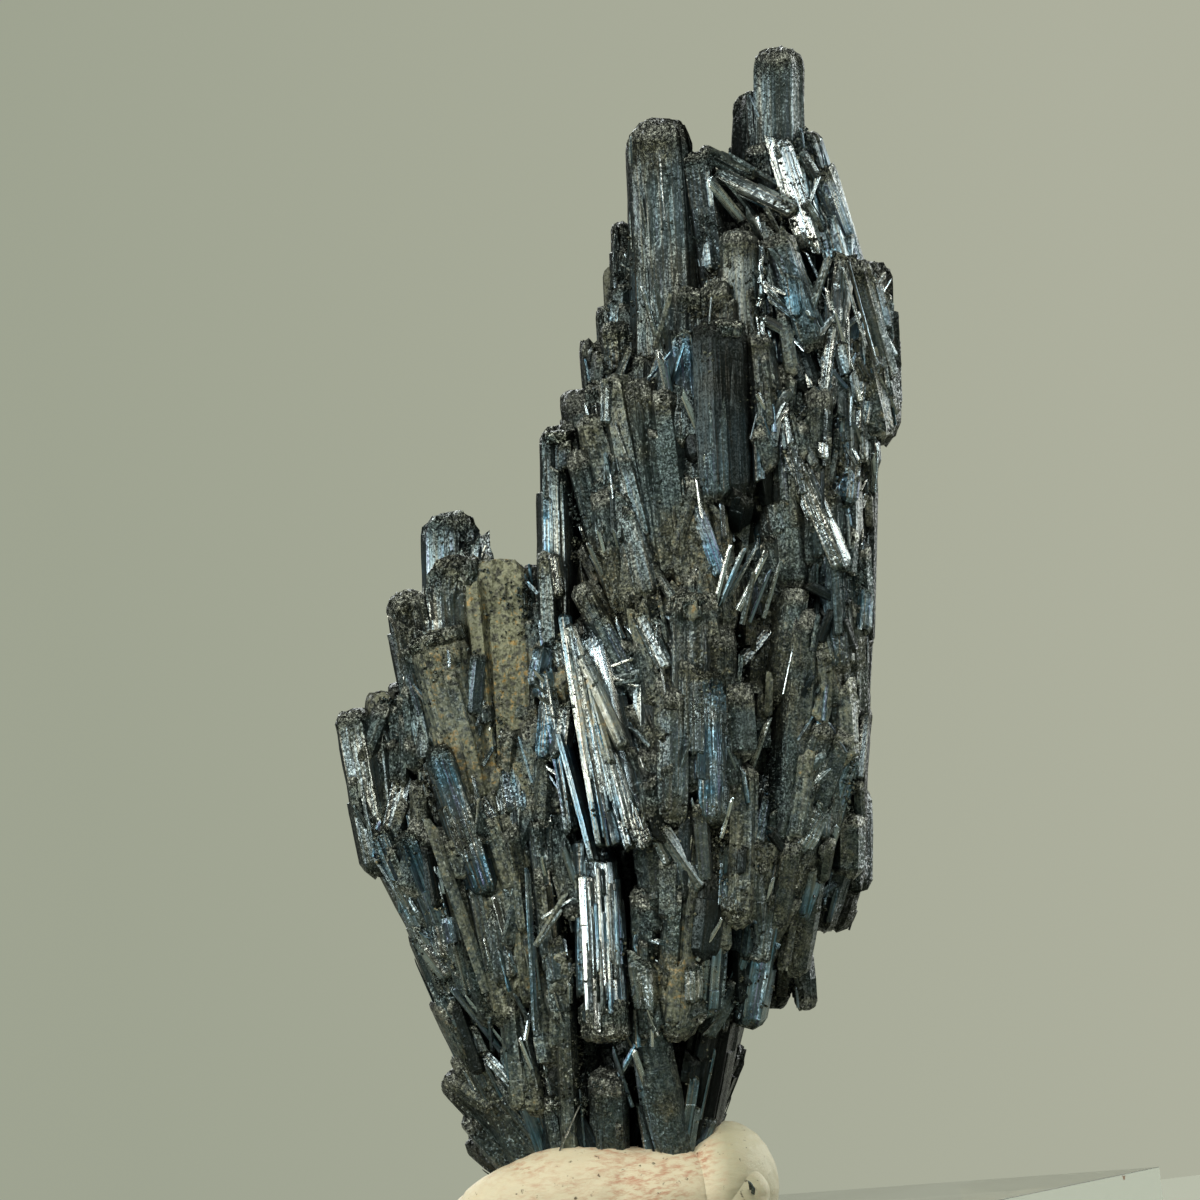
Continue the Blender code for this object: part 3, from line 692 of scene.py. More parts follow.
facing = wire(ore, "VectorMath", {0: turned}, operation="NORMALIZE").outputs[0]
fill(shader, {"Base Color": colour, "Roughness": matt, "Normal": facing})
fill(shader, {"Metallic": plus(1.0, film, "SUBTRACT")})

placed = 0


def set_crystals(name, crystals, share=1.0):
    """Grows a group of crystals as one piece, and remembers how many there are so far."""
    global placed
    growth = Growth()
    for crystal in crystals:
        grow_crystal(growth, crystal, placed)
        lay_slivers(growth, crystal, placed, share)
        placed += 1
    return growth.build(name)


set_crystals("summit_crystals", summit)


# The left tower
# One broad stibnite crystal with a flat face and a ledge on its front. Thin ones grew against it
# and make a stair down its left edge.
left_tower = list_crystals(
    (-1.9, 68.3, -1.1, 55.0, 2.2, 3.0, 3.6, 3.0, "slate", 5),
    (-3.15, 67.0, -2.9, 54.5, 1.8, 2.8, 1.1, 2.2, "teal"),
    (-0.35, 66.7, 1.0, 56.5, 2.2, 2.8, 1.9, 2.4, "haze"),
    (-4.0, 63.3, -3.5, 52.0, 0.8, 1.6, 1.2, 1.8, "steel"),
    (-4.65, 59.2, -4.0, 49.0, 1.0, 2.0, 1.3, 2.0, "steel"),
    (-4.45, 61.0, -3.9, 50.0, 0.6, 1.4, 1.0, 1.6, "ochre"),
    (-5.35, 57.2, -4.4, 47.0, 1.4, 2.4, 1.4, 2.2, "olive"),
    (-4.3, 58.3, -3.6, 48.0, 2.2, 3.2, 1.5, 2.4, "steel"),
    (-6.2, 54.9, -5.0, 45.0, 1.8, 3.0, 1.7, 2.4, "dark"),
    (-5.2, 55.3, -4.4, 46.0, 2.6, 3.4, 1.6, 2.4, "steel"),
)
set_crystals("left_tower_crystals", left_tower)


# The notch between the towers
# Broken stibnite blades that fell across the gap and grew fast there. They are dusted olive and
# beige where they are thickest.
between_the_towers = list_crystals(
    (0.0, 66.9, 2.7, 65.6, 2.4, 2.2, 0.8, 1.2, "olive"),
    (0.75, 65.7, 4.6, 63.8, 2.9, 3.0, 0.9, 1.0, "bone"),
    (1.9, 64.0, 4.4, 61.0, 1.8, 2.4, 1.3, 1.6, "steel"),
    (2.6, 63.6, 4.2, 57.5, 2.0, 2.8, 1.6, 2.2, "olive"),
)
set_crystals("notch_blades", between_the_towers)


# The upper front
# Blocky stibnite crystals of all lengths, grown side by side. One wide dark blade stands forward
# in their middle.
upper_front = list_crystals(
    (1.8, 62.8, 2.2, 53.0, 3.6, 4.2, 2.3, 2.6, "slate", -10),
    (3.7, 62.6, 5.4, 57.0, 3.8, 4.0, 1.7, 2.2, "teal"),
    (7.2, 61.6, 6.2, 54.0, 2.8, 3.6, 1.4, 2.2, "silver"),
    (0.9, 60.3, 0.7, 54.0, 4.3, 4.6, 1.9, 2.2, "steel"),
    (-0.5, 60.0, -0.5, 52.0, 3.8, 4.6, 1.4, 2.2, "steel"),
    # The wide dark blade has the skin that is painted near-black as shade
    (0.9, 58.3, 1.3, 49.5, 5.6, 5.8, 2.8, 2.4, "night", 8),
    (2.6, 57.7, 3.2, 51.0, 4.8, 5.2, 1.6, 2.2, "steel"),
    (4.1, 56.2, 4.8, 45.0, 4.0, 4.8, 2.0, 2.6, "dark"),
    (5.7, 55.0, 5.4, 46.0, 4.2, 4.8, 1.6, 2.4, "dark"),
    (4.35, 52.4, 7.0, 46.0, 5.0, 5.2, 1.3, 2.2, "silver"),
    (7.0, 56.0, 7.4, 43.0, 3.0, 3.6, 1.6, 2.6, "slate"),
    (8.2, 55.2, 7.9, 42.0, 1.6, 2.0, 1.5, 2.6, "dark"),
    (8.25, 51.2, 7.7, 38.0, 0.2, 0.4, 1.4, 2.4, "dark"),
    (6.2, 50.0, 6.8, 41.0, 4.4, 4.8, 1.5, 2.2, "teal"),
)
set_crystals("upper_front_crystals", upper_front)


# The olive fan
# Stibnite crystals that lean in from the left edge, dusted with olive clay. They are rooted in
# the middle of the cluster.
olive_fan = list_crystals(
    (-4.3, 55.6, -2.3, 45.0, 4.0, 4.8, 1.7, 2.4, "olive"),
    (-3.0, 55.4, -1.6, 45.5, 4.6, 5.2, 1.8, 2.4, "dark"),
    (-1.8, 54.8, -0.6, 45.0, 5.0, 5.4, 1.4, 2.4, "dark"),
    (-5.4, 53.7, -3.2, 44.5, 3.6, 4.6, 1.8, 2.4, "olive"),
    (-7.05, 53.1, -6.7, 38.0, 2.6, 3.4, 2.1, 2.8, "haze", -20),
    (-6.0, 51.9, -3.8, 43.5, 3.8, 4.8, 1.5, 2.4, "dark"),
    (-4.9, 50.0, -3.2, 41.5, 4.6, 5.4, 1.7, 2.4, "dark"),
    (0.3, 50.4, 0.9, 43.0, 5.2, 5.8, 1.9, 2.4, "dark"),
)
set_crystals("olive_fan_crystals", olive_fan)


# The middle of the cluster
# A knot of short stibnite columns where the crystals cross. They stand far forward and are fused
# to one another and to the heart.
middle = list_crystals(
    (-0.55, 44.9, -0.4, 35.0, 6.6, 6.8, 2.6, 3.0, "steel"),
    (1.0, 43.2, 1.2, 35.0, 6.2, 6.4, 1.9, 2.8, "dark"),
    (-2.6, 45.2, -1.6, 38.5, 5.6, 6.2, 1.7, 2.6, "dark"),
    (-5.9, 45.3, -2.9, 39.5, 5.0, 5.8, 1.5, 2.6, "dark"),
    (-7.5, 46.8, -7.1, 38.0, 3.6, 3.8, 1.25, 2.6, "steel"),
    (-1.4, 40.2, -1.5, 33.5, 7.2, 7.0, 2.0, 2.8, "steel"),
    (0.4, 41.0, 0.6, 33.5, 7.0, 6.8, 1.8, 2.8, "blue"),
    (1.7, 36.5, 1.6, 28.5, 5.8, 5.8, 2.0, 3.0, "olive"),
    (-0.5, 33.6, -1.3, 23.0, 6.2, 5.2, 2.4, 3.2, "olive"),
    (0.9, 33.0, 0.2, 24.0, 5.8, 4.8, 1.6, 3.0, "blue"),
    (-2.7, 37.5, -2.1, 29.0, 6.0, 5.8, 2.0, 3.0, "dark"),
    (-2.8, 30.4, -2.7, 22.5, 5.8, 5.0, 1.6, 2.8, "dark"),
)
set_crystals("middle_crystals", middle)


# The bright pair
# Two broken stibnite crystals that stand forward of the rest and catch the light on clean, ribbed
# faces. Each is a bundle of thin crystals grown together; the upper one ends in a dusty bevel.
bright_pair = list_crystals(
    (-3.7, 33.4, -5.6, 42.6, 7.1, 5.5, 2.7, 2.2, "mirror", 20),
    (-4.55, 24.0, -5.0, 32.0, 6.4, 5.5, 2.1, 2.2, "mirror", 20),
    (-7.0, 44.6, -7.3, 46.7, 5.4, 5.1, 0.6, 0.8, "silver"),
    (-5.2, 31.6, -6.9, 37.9, 7.2, 5.8, 0.5, 1.2, "blue", 24),
    (-6.3, 33.0, -7.6, 41.0, 5.8, 5.0, 0.9, 1.4, "blue", 20),
    (-5.7, 25.0, -5.9, 32.6, 5.8, 5.4, 0.9, 1.6, "blue", 20),
    (-4.65, 22.7, -4.75, 24.8, 6.6, 6.5, 2.3, 2.3, "glitter", 10),
)
chance = random.Random(9)
UPPER_SKINS = ("blue", "bone", "mirror", "bone", "mirror", "blue", "gleam", "mirror", "silver")
for step, skin in enumerate(UPPER_SKINS):
    across = step / (len(UPPER_SKINS) - 1)
    out = 0.75 * math.sin(math.pi * (0.15 + 0.7 * across))
    bevel = 36.4 if skin == "bone" else 31.9
    low = (-4.85 + 2.75 * across, bevel + 0.4 * across + chance.uniform(0.0, 0.9))
    high = (-6.75 + 2.1 * across, 43.9 - 5.6 * across + chance.uniform(-0.6, 0.6))
    forward = (7.25 + out, 5.55 + out + 0.9 * across)
    wide, turn = chance.uniform(0.5, 0.75), chance.uniform(12, 30)
    bright_pair.append(Crystal(*low, *high, *forward, wide, 1.0, skin, turn))
for step, skin in enumerate(("mirror", "gleam", "gleam", "mirror", "blue")):
    across = step / 4
    out = 0.45 * math.sin(math.pi * (0.1 + 0.8 * across))
    low = Vector((-5.4 + 1.5 * across, 23.2 + chance.uniform(-0.3, 0.5)))
    high = Vector((-5.75 + 1.5 * across, 31.6 + chance.uniform(-0.8, 0.6)))
    bright_pair.append(Crystal(*low, *high, 6.85 + out, 5.95 + out, 0.6, 1.0, skin, chance.uniform(14, 28)))
set_crystals("bright_crystals", bright_pair, 0.5)


# The right side
# Slanting stibnite columns, from the middle down to the prongs that overhang the putty. They are
# dull and dark but for a few tarnished edges.
right_side = list_crystals(
    (5.0, 44.2, 4.4, 33.0, 4.6, 5.0, 2.3, 3.0, "dark"),
    (6.6, 44.5, 6.0, 32.5, 3.8, 4.2, 2.0, 3.0, "dark"),
    (7.45, 44.5, 7.2, 31.0, 2.2, 2.4, 1.7, 2.8, "dark"),
    (7.8, 40.4, 7.5, 30.6, 0.6, 0.8, 1.4, 2.6, "dark"),
    (7.4, 37.0, 4.7, 28.6, 3.8, 3.8, 1.3, 2.4, "blue"),
    (7.2, 38.2, 4.3, 30.0, 4.6, 4.8, 1.4, 2.4, "dark"),
    (6.2, 38.4, 4.0, 32.5, 5.2, 5.4, 1.7, 2.2, "steel"),
    (7.7, 34.2, 5.9, 28.2, 2.0, 1.6, 1.5, 2.6, "dark"),
    (7.5, 29.8, 7.0, 35.0, 1.2, 1.6, 1.5, 2.0, "silver"),
    (5.8, 33.8, 4.5, 26.0, 3.8, 3.0, 1.6, 2.8, "dark"),
    (4.2, 34.2, 3.0, 26.5, 5.0, 4.2, 1.8, 2.8, "steel"),
    (3.4, 30.0, 2.3, 23.5, 4.6, 3.6, 1.9, 2.8, "blue"),
    (5.2, 24.1, 4.5, 31.0, 1.8, 2.4, 1.3, 1.9, "dark"),
    (3.7, 24.2, 3.8, 30.5, 1.2, 1.8, 1.6, 2.0, "dark"),
)
set_crystals("right_side_crystals", right_side)


# The foot
# Short thick crystals that go down into the putty and hold the specimen up. They are painted
# near-black, a painted shadow of the prongs that overhang them.
foot = list_crystals(
    (1.6, 27.6, -0.5, 16.5, 2.8, 2.0, 2.2, 3.0, "night"),
    (1.8, 25.4, -0.3, 16.5, 0.2, 0.2, 1.7, 2.8, "night"),
    (0.5, 26.2, -1.0, 16.0, 4.0, 2.6, 1.9, 2.8, "night"),
    (-3.1, 24.2, -1.9, 16.0, 4.6, 3.0, 1.3, 2.2, "blue"),
    (-4.7, 21.2, -4.6, 16.0, 4.6, 3.2, 2.0, 2.4, "dark"),
    (-6.9, 27.2, -6.5, 18.0, 4.6, 3.4, 1.2, 2.4, "olive"),
    (-12.5, 20.9, -9.0, 17.2, 1.0, 1.0, 1.9, 2.4, "dark"),
    (-12.0, 22.0, -9.0, 18.4, 2.0, 2.0, 1.7, 2.4, "dark"),
    (-11.6, 18.9, -8.6, 15.6, 0.8, 0.6, 1.5, 2.2, "dark"),
    (-9.6, 22.5, -7.6, 16.6, 3.2, 2.0, 1.6, 2.6, "blue"),
)
set_crystals("foot_crystals", foot)


# The lower left fan
# Long thin stibnite crystals that spread from the foot to the lower cluster, tarnished blue at the
# left and dusted olive at the right.
lower_left_fan = list_crystals(
    (-7.9, 33.5, -7.2, 26.0, 4.4, 4.0, 1.4, 2.6, "teal"),
    (-9.6, 34.0, -8.6, 24.5, 4.0, 3.8, 1.6, 2.6, "olive"),
    (-11.4, 33.4, -9.4, 23.5, 3.8, 3.6, 2.0, 2.8, "olive"),
    (-12.8, 33.2, -10.4, 23.5, 3.8, 3.2, 1.4, 2.6, "dark"),
    (-14.6, 33.0, -11.6, 25.0, 3.4, 3.0, 1.6, 2.6, "blue"),
    (-15.9, 33.2, -12.1, 24.4, 2.6, 2.4, 1.5, 2.4, "blue"),
    (-14.0, 28.2, -10.6, 20.0, 2.6, 2.2, 1.6, 2.4, "blue"),
    (-16.7, 33.4, -13.0, 26.4, 1.2, 1.4, 1.3, 2.2, "silver"),
    (-12.9, 24.8, -9.4, 17.8, 2.6, 1.6, 1.5, 2.4, "dark"),
    (-10.1, 28.2, -7.9, 19.0, 3.8, 2.8, 1.6, 2.8, "olive"),
)
set_crystals("lower_left_crystals", lower_left_fan)


# The lower cluster on the left
# Stibnite crystals with worn round caps, some of them crusted with ochre. A silvery pair stands at
# the far left, and two tall pale crystals behind.
far_left = list_crystals(
    (-17.3, 39.0, -15.8, 31.0, 1.6, 1.8, 2.1, 2.2, "haze", -20),
    (-15.9, 39.9, -14.8, 31.0, 1.4, 1.6, 1.7, 2.2, "ochre"),
    (-15.0, 40.4, -14.0, 32.0, 0.4, 1.0, 1.3, 2.2, "dark"),
)
left_cluster = list_crystals(
    (-14.7, 44.9, -12.2, 33.0, 2.0, 2.4, 2.4, 2.4, "teal"),
    (-13.4, 44.3, -11.6, 34.0, 1.0, 1.4, 1.8, 2.4, "dark"),
    (-13.15, 42.9, -10.4, 32.0, 3.6, 3.8, 2.8, 2.6, "olive"),
    (-13.2, 42.95, -12.9, 42.1, 3.7, 3.75, 2.7, 2.5, "glitter"),
    (-13.0, 37.3, -10.6, 30.0, 4.4, 4.4, 1.9, 2.4, "blue"),
    (-9.9, 46.4, -9.2, 33.0, 2.6, 3.2, 3.1, 2.8, "ochre"),
    (-11.2, 45.3, -9.9, 33.0, 2.8, 3.2, 1.3, 2.6, "ochre"),
    (-8.4, 46.2, -8.2, 36.0, 1.8, 2.4, 1.2, 2.4, "dark"),
    (-8.0, 38.6, -7.6, 32.0, 3.6, 3.8, 2.0, 2.6, "dark"),
    (-12.45, 48.8, -12.0, 36.0, -2.6, -1.6, 3.0, 2.6, "pale", -27),
    (-11.35, 47.3, -11.1, 36.0, -2.5, -1.6, 2.2, 2.6, "pale", -27),
)
set_crystals("far_left_crystals", far_left)
set_crystals("left_cluster_crystals", left_cluster)


# The granular ends
# Etched ends and ledges of stibnite that glitter like sugar: the top of the middle column, and
# ledges of the wide blade, the olive fan and the foot. Each sits on the crystal under it.
glittering = list_crystals(
    (-0.65, 44.85, -0.6, 43.5, 6.85, 6.85, 1.8, 2.4, "glitter", 8),
    (1.3, 58.35, 1.25, 57.4, 5.7, 5.7, 1.6, 2.1, "glitter", 8),
    (-7.05, 52.95, -7.0, 52.2, 2.75, 2.75, 1.9, 2.5, "glitter", -8),
    (-2.6, 30.4, -2.5, 29.6, 5.9, 5.9, 1.5, 2.6, "glitter", 10),
)
set_crystals("granular_ends", glittering, 0.3)


# The bright ribs
# Hair-fine stibnite ribs that lie side by side on the faces of the bright pair and tie each of its
# bundles together.
ribs = []
chance = random.Random(12)
for count, low_left, low_right, high_left, high_right, swell in (
    (30, (-4.85, 31.9, 7.3), (-2.15, 32.3, 7.3), (-6.75, 43.7, 5.6), (-4.65, 38.4, 6.5), 0.72),
    (14, (-5.4, 23.3, 6.9), (-3.95, 23.4, 6.9), (-5.75, 31.5, 6.0), (-4.3, 31.3, 6.0), 0.45),
):
    for step in range(count):
        across = (step + chance.uniform(0.1, 0.9)) / count
        out = swell * math.sin(math.pi * (0.12 + 0.76 * across)) + 0.40
        low = Vector(low_left).lerp(Vector(low_right), across) + Vector((0, 0, out))
        high = Vector(high_left).lerp(Vector(high_right), across) + Vector((0, 0, out))
        start = chance.uniform(0.0, 0.5)
        end = min(1.0, start + chance.uniform(0.35, 0.6))
        skins = ("mirror", "blue", "silver", "blue", "silver", "steel")
        if start > 0.3 and count > 20:
            skins = ("bone", "bone", "silver", "blue")
        first, last = low.lerp(high, start), low.lerp(high, end)
        wide, skin, turn = chance.uniform(0.16, 0.32), chance.choice(skins), chance.uniform(10, 30)
        ribs.append(Crystal(*first[:2], *last[:2], first.z, last.z, wide, 0.45, skin, turn))
set_crystals("bright_ribs", ribs, 0.0)


# The rear
# The crystals at the back are stibnite of the same kinds, rooted in the same heart. Each is moved
# and resized, so that no two match.
front = (
    summit + left_tower + between_the_towers + upper_front + olive_fan + middle + bright_pair
    + right_side + foot + lower_left_fan + far_left + left_cluster
)
chance = random.Random(7)
rear = []
for crystal in front:
    kept = chance.random() < 0.42
    shift = chance.uniform(-0.8, 0.8)
    lower = chance.uniform(0.2, 3.2)
    lean = chance.uniform(-0.7, 0.7)
    if not kept or crystal.wide < 1.4 or crystal in bright_pair:
        continue
    rear.append(
        crystal._replace(
            tip_x=crystal.tip_x * 0.94 + shift,
            foot_x=crystal.foot_x * 0.94 + shift + lean,
            tip_z=crystal.tip_z + (0.3 * lower if crystal.tip_z < crystal.foot_z else -lower),
            tip_forward=-crystal.tip_forward,
            foot_forward=-crystal.foot_forward,
            wide=crystal.wide * 1.3,
            turn=None,
        )
    )
set_crystals("rear_crystals", rear, 1.3)


# The heart
# Fine granular stibnite that the crystals grew from, seen as dark broken columns in the gaps
# between them. It goes down into the putty.
# Each row: a height, the left and right edge there, and half the depth
main_heart = (
    (14.4, -6.6, -1.6, 2.0),
    (17.5, -7.6, -0.3, 2.4),
    (21.0, -8.0, 0.8, 3.6),
    (26.0, -8.0, 2.8, 4.8),
    (32.0, -7.4, 6.8, 5.8),
    (39.0, -6.8, 7.2, 6.0),
    (45.0, -6.2, 7.2, 5.6),
    (50.0, -5.4, 7.6, 5.0),
    (55.0, -3.8, 8.0, 4.2),
    (60.0, -2.6, 7.6, 3.0),
    (63.5, -1.2, 5.4, 2.0),
)
left_heart = (
    (15.2, -8.0, -5.4, 1.4),
    (18.0, -9.6, -6.0, 1.8),
    (22.0, -10.6, -6.0, 2.8),
    (28.0, -12.4, -6.2, 3.6),
    (33.0, -14.8, -6.4, 3.7),
    (37.5, -15.0, -6.8, 3.2),
    (42.0, -13.2, -7.8, 2.4),
)


def heart_at(levels, height):
    """The left and right edge and the half depth of a heart at a height."""
    low, high = next(pair for pair in zip(levels, levels[1:]) if pair[1][0] >= height)
    part = (height - low[0]) / (high[0] - low[0])
    return (first + (last - first) * part for first, last in zip(low[1:], high[1:]))


def fill_heart(name, levels):
    """Stacks rings of broken columns from the lowest level to the highest."""
    growth = Growth()
    skin = SKINS["dark"]
    steps, rise = 170, 0.3
    rings = []
    height = levels[0][0]
    while height <= levels[-1][0]:
        left, right, deep = heart_at(levels, height)
        ring = []
        for step in range(steps):
            angle = 2 * math.pi * (step + 0.5) / steps
            across = math.copysign(abs(math.cos(angle)) ** 0.75, math.cos(angle))
            back = math.copysign(abs(math.sin(angle)) ** 0.75, math.sin(angle))
            place = Vector(((left + right) / 2 + (right - left) / 2 * across, deep * back, height))
            column = Vector((place.x * 1.3 + place.z * 0.12, place.y * 1.3, 5.0))
            column.z = place.z * 0.3 + 9.0 * noise.cell(column)
            columns = noise.cell(column)
            crumbs = noise.fractal(place * 2.4, 0.8, 2.1, 3)
            outward = Vector((across, back, 0)).normalized()
            place += outward * (0.9 * columns + 0.10 * crumbs - 0.75)
            ring.append(growth.add(LEANED @ place, place, Vector((0, 0, 0)), skin, 0.7))
        rings.append(ring)
        height += rise
    for low, high in zip(rings, rings[1:]):
        growth.close_ring(low, high)
    growth.faces.append(tuple(reversed(rings[0])))
    growth.faces.append(tuple(rings[-1]))
    return growth.build(name)


fill_heart("main_heart", main_heart)
fill_heart("left_heart", left_heart)


# The short crystals
# Shorter, thinner stibnite crystals fill every gap and lean on the large ones. They lie the way
# their neighbours do, and a few cross them.
CELL = 0.25


def cell_of(x, z):
    """The cell of the grid that a point of the sheet lies in."""
    return round(x / CELL), round(z / CELL)


def lay_of_the_land(crystals, side):
    """How far the surface stands out, on a grid of the sheet, on the viewer's side or the rear."""
    height = {}
    for levels in (main_heart, left_heart):
        for row in range(int(levels[0][0] / CELL), int(levels[-1][0] / CELL)):
            left, right, deep = heart_at(levels, row * CELL)
            for column in range(int(left / CELL), int(right / CELL) + 1):
                off = min(1.0, abs((column * CELL - (left + right) / 2) / ((right - left) / 2)))
                out = deep * (1 - off ** 2.6) ** 0.4 - 0.6
                height[column, row] = max(height.get((column, row), -9.0), out)
    for crystal in crystals:
        tip, foot = both_ends(crystal, side)
        along = tip - foot
        across = Vector((along.z, 0.0, -along.x)).normalized()
        steps = int(along.length / CELL) * 2
        widths = max(3, int(crystal.wide / CELL) * 2)
        for step in range(steps):
            middle = foot + along * (step / steps)
            for width in range(-widths, widths + 1):
                off = 0.5 * width / widths
                place = middle + across * (crystal.wide * off)
                out = place.y + 0.5 * crystal.deep * math.sqrt(max(0.0, 1 - (1.9 * off) ** 2)) ** 0.6
                cell = cell_of(place.x, place.z)
                height[cell] = max(height.get(cell, -9.0), out)
    return height


def way_of_growth(crystals, x, z):
    """The direction and the skin of the crystals round a point of the sheet."""
    total = Vector((0.0, 0.0))
    nearest, best = None, 1e9
    for crystal in crystals:
        foot = Vector((crystal.foot_x, crystal.foot_z))
        along = Vector((crystal.tip_x, crystal.tip_z)) - foot
        part = max(0.0, min(1.0, (Vector((x, z)) - foot).dot(along) / along.length_squared))
        away = (Vector((x, z)) - foot - along * part).length_squared
        heading = along.normalized()
        if heading.y < 0:
            heading.negate()
        total += heading / (away + 0.15) ** 2
        if away < best:
            nearest, best = crystal.skin, away
    return total.normalized(), nearest


def find_hollows(surface, reach=5):
    """The cells of the grid in order, and those that lie deeper than what is round them."""
    hollows = []
    steps = (-reach, -reach // 2, 0, reach // 2, reach)
    for (column, row), out in sorted(surface.items()):
        near = [(column + right, row + up) for right in steps for up in steps]
        round_about = [surface[cell] for cell in near if cell in surface]
        if len(round_about) > 12 and sum(round_about) / len(round_about) - out > 0.12:
            hollows.append((column, row))
    return sorted(surface), hollows


# Where the front is left open and dark, or a large face bare: the middle of each place, and half
# its width and height
OPENINGS = (
    (-3.5, 31.0, 1.9, 1.2), (3.95, 36.6, 0.6, 2.2), (2.1, 43.2, 0.6, 0.9), (0.9, 65.9, 0.8, 0.4),
    (2.9, 64.2, 0.9, 0.5), (-13.4, 34.6, 0.5, 1.3), (-8.1, 31.4, 0.4, 1.2), (4.9, 41.2, 0.5, 0.7),
    (-4.9, 41.7, 0.8, 0.7), (1.8, 20.5, 0.9, 2.6), (1.2, 53.6, 1.1, 3.6), (-1.5, 62.5, 1.9, 4.4),
    (1.8, 65.0, 1.7, 1.3), (1.9, 60.2, 0.8, 2.2), (-4.9, 37.6, 1.1, 4.6), (-4.6, 27.2, 1.1, 4.2),
    (4.0, 66.5, 0.9, 3.6), (-9.8, 41.5, 0.9, 3.0), (-6.9, 47.0, 0.8, 4.0), (-0.5, 40.5, 0.9, 1.6),
)


def is_open(x, z):
    """Whether a point of the sheet lies in one of the places left open."""
    return any(abs((x - o[0]) / o[2]) < 1 and abs((z - o[1]) / o[3]) < 1 for o in OPENINGS)


# Skins for the short crystals, at random; two of the fourteen are the skin painted near-black as shade
MIXED = (
    "dark", "dark", "dark", "steel", "steel", "silver", "silver",
    "blue", "blue", "teal", "olive", "olive", "night", "night",
)
BRIGHT = ("gleam", "mirror", "silver", "blue", "blue", "gleam", "steel", "teal")
# Darker skins, half of them painted near-black as shade, for the short crystals by the putty and the blades
# at the middle right
LOW_DOWN = ("dark", "night", "blue", "night")
NEAR_PUTTY, IN_PUTTY = 18.8, 15.9
FOOT_LEFT, FOOT_RIGHT = -8.2, -0.6
BROAD = 0.45


def fill_gaps(
    name, crystals, side, count, seed, lengths, widths, crossing, proud, in_hollows,
    skins=MIXED, share=0.45, within=None,
):
    """Sets short blades against the surface, their feet sunk in it, most of them in hollows.

    Crossing is the share that lies across its neighbours, proud is how far the tips stand out, and
    share is how many take one of the skins and not that of their neighbour.
    """
    chance = random.Random(seed)
    surface = lay_of_the_land(crystals, side)
    cells, hollows = find_hollows(surface)
    growth = Growth()
    for _ in range(count):
        column, row = chance.choice(hollows if chance.random() < in_hollows else cells)
        x, z = column * CELL, row * CELL
        if within and not (within[0] < x < within[2] and within[1] < z < within[3]):
            continue
        heading, skin = way_of_growth(crystals, x, z)
        small, large = 6.0, 34.0 / (1.0 + max(widths))
        spread = small if chance.random() > crossing else large
        angle = math.atan2(heading.x, heading.y) + math.radians(chance.gauss(0, spread))
        length, wide = chance.uniform(*lengths), chance.uniform(*widths)
        right, up = math.sin(angle), math.cos(angle)
        trail = [(x - right * part * length, z - up * part * length) for part in (0, 0.25, 0.5, 0.75, 1)]
        under = [surface.get(cell_of(at_x, at_z)) for at_x, at_z in trail]
        beside = [
            cell_of(at_x + off * up, at_z - off * right) in surface
            for at_x, at_z in trail
            for off in (-0.5 * wide - 0.2, 0.5 * wide + 0.2)
        ]
        if None in under or not all(beside):
            continue
        low_down = trail[-1][1] < NEAR_PUTTY
        if low_down:
            length += (trail[-1][1] - IN_PUTTY) / max(0.1, up)
            trail[-1] = (x - right * length, IN_PUTTY)
            if up < 0.75 or not FOOT_LEFT < trail[-1][0] < FOOT_RIGHT:
                continue
        if side > 0 and any(is_open(*point) for point in trail):
            continue
        out_tip = surface[column, row] - 0.28 * wide + chance.uniform(*proud)
        out_foot = min(under[-1] - 0.35 * wide, out_tip + 0.3 * length)
        if chance.random() < share or skin in ("mirror", "bone", "gleam", "ochre", "glitter", "haze"):
            skin = chance.choice(skins)
        if low_down:
            skin = chance.choice(LOW_DOWN)
        tip = Vector((x, -side * out_tip, z))
        foot = Vector((trail[-1][0], -side * out_foot, trail[-1][1]))
        place = stand_along(tip, foot, math.radians(chance.gauss(0, 14)))
        deep = wide * chance.uniform(0.6, 0.95)
        tall = (tip - foot).length
        if wide > BROAD:
            rib = 0.04 * RIBS.get(skin, 1.0)
            grow_prism(growth, place, tall, wide, deep, SKINS[skin], chance, 6, 0.34, True, rib)
        else:
            grow_sliver(growth, place, tall, wide, 0.6 * deep, SKINS[skin], somewhere(chance), chance)
    return growth.build(name)


fill_gaps("front_slabs", front, 1, 260, 20, (2.0, 6.0), (1.2, 2.4), 0.4, (-0.5, -0.05), 0.75)
fill_gaps("front_short_crystals", front, 1, 520, 21, (0.9, 4.0), (0.5, 1.2), 0.5, (-0.2, 0.15), 0.92)
fill_gaps("rear_short_crystals", rear, -1, 1000, 22, (1.8, 5.5), (0.6, 1.6), 0.2, (-0.2, 0.3), 0.8)


# The needles
# The thinnest stibnite blades, some no wider than a hair. They are strewn in the hollows and over
# the faces, thickest at the upper right.
fill_gaps("front_needles", front, 1, 800, 31, (0.6, 2.4), (0.08, 0.30), 0.5, (-0.05, 0.2), 0.9, BRIGHT, 0.75)
fill_gaps(
    "upper_right_blades", front, 1, 2100, 33, (0.7, 2.6), (0.16, 0.55), 0.7, (-0.05, 0.2), 0.6,
    BRIGHT, 0.75, within=(1.5, 52.0, 9.2, 65.5),
)
fill_gaps(
    "middle_right_blades", front, 1, 900, 34, (0.7, 2.4), (0.2, 0.6), 0.7, (-0.1, 0.15), 0.8,
    LOW_DOWN, 0.6, within=(1.5, 28.0, 8.0, 52.0),
)
fill_gaps("rear_needles", rear, -1, 1000, 32, (0.8, 3.0), (0.10, 0.34), 0.3, (-0.05, 0.2), 0.85, BRIGHT, 0.6)


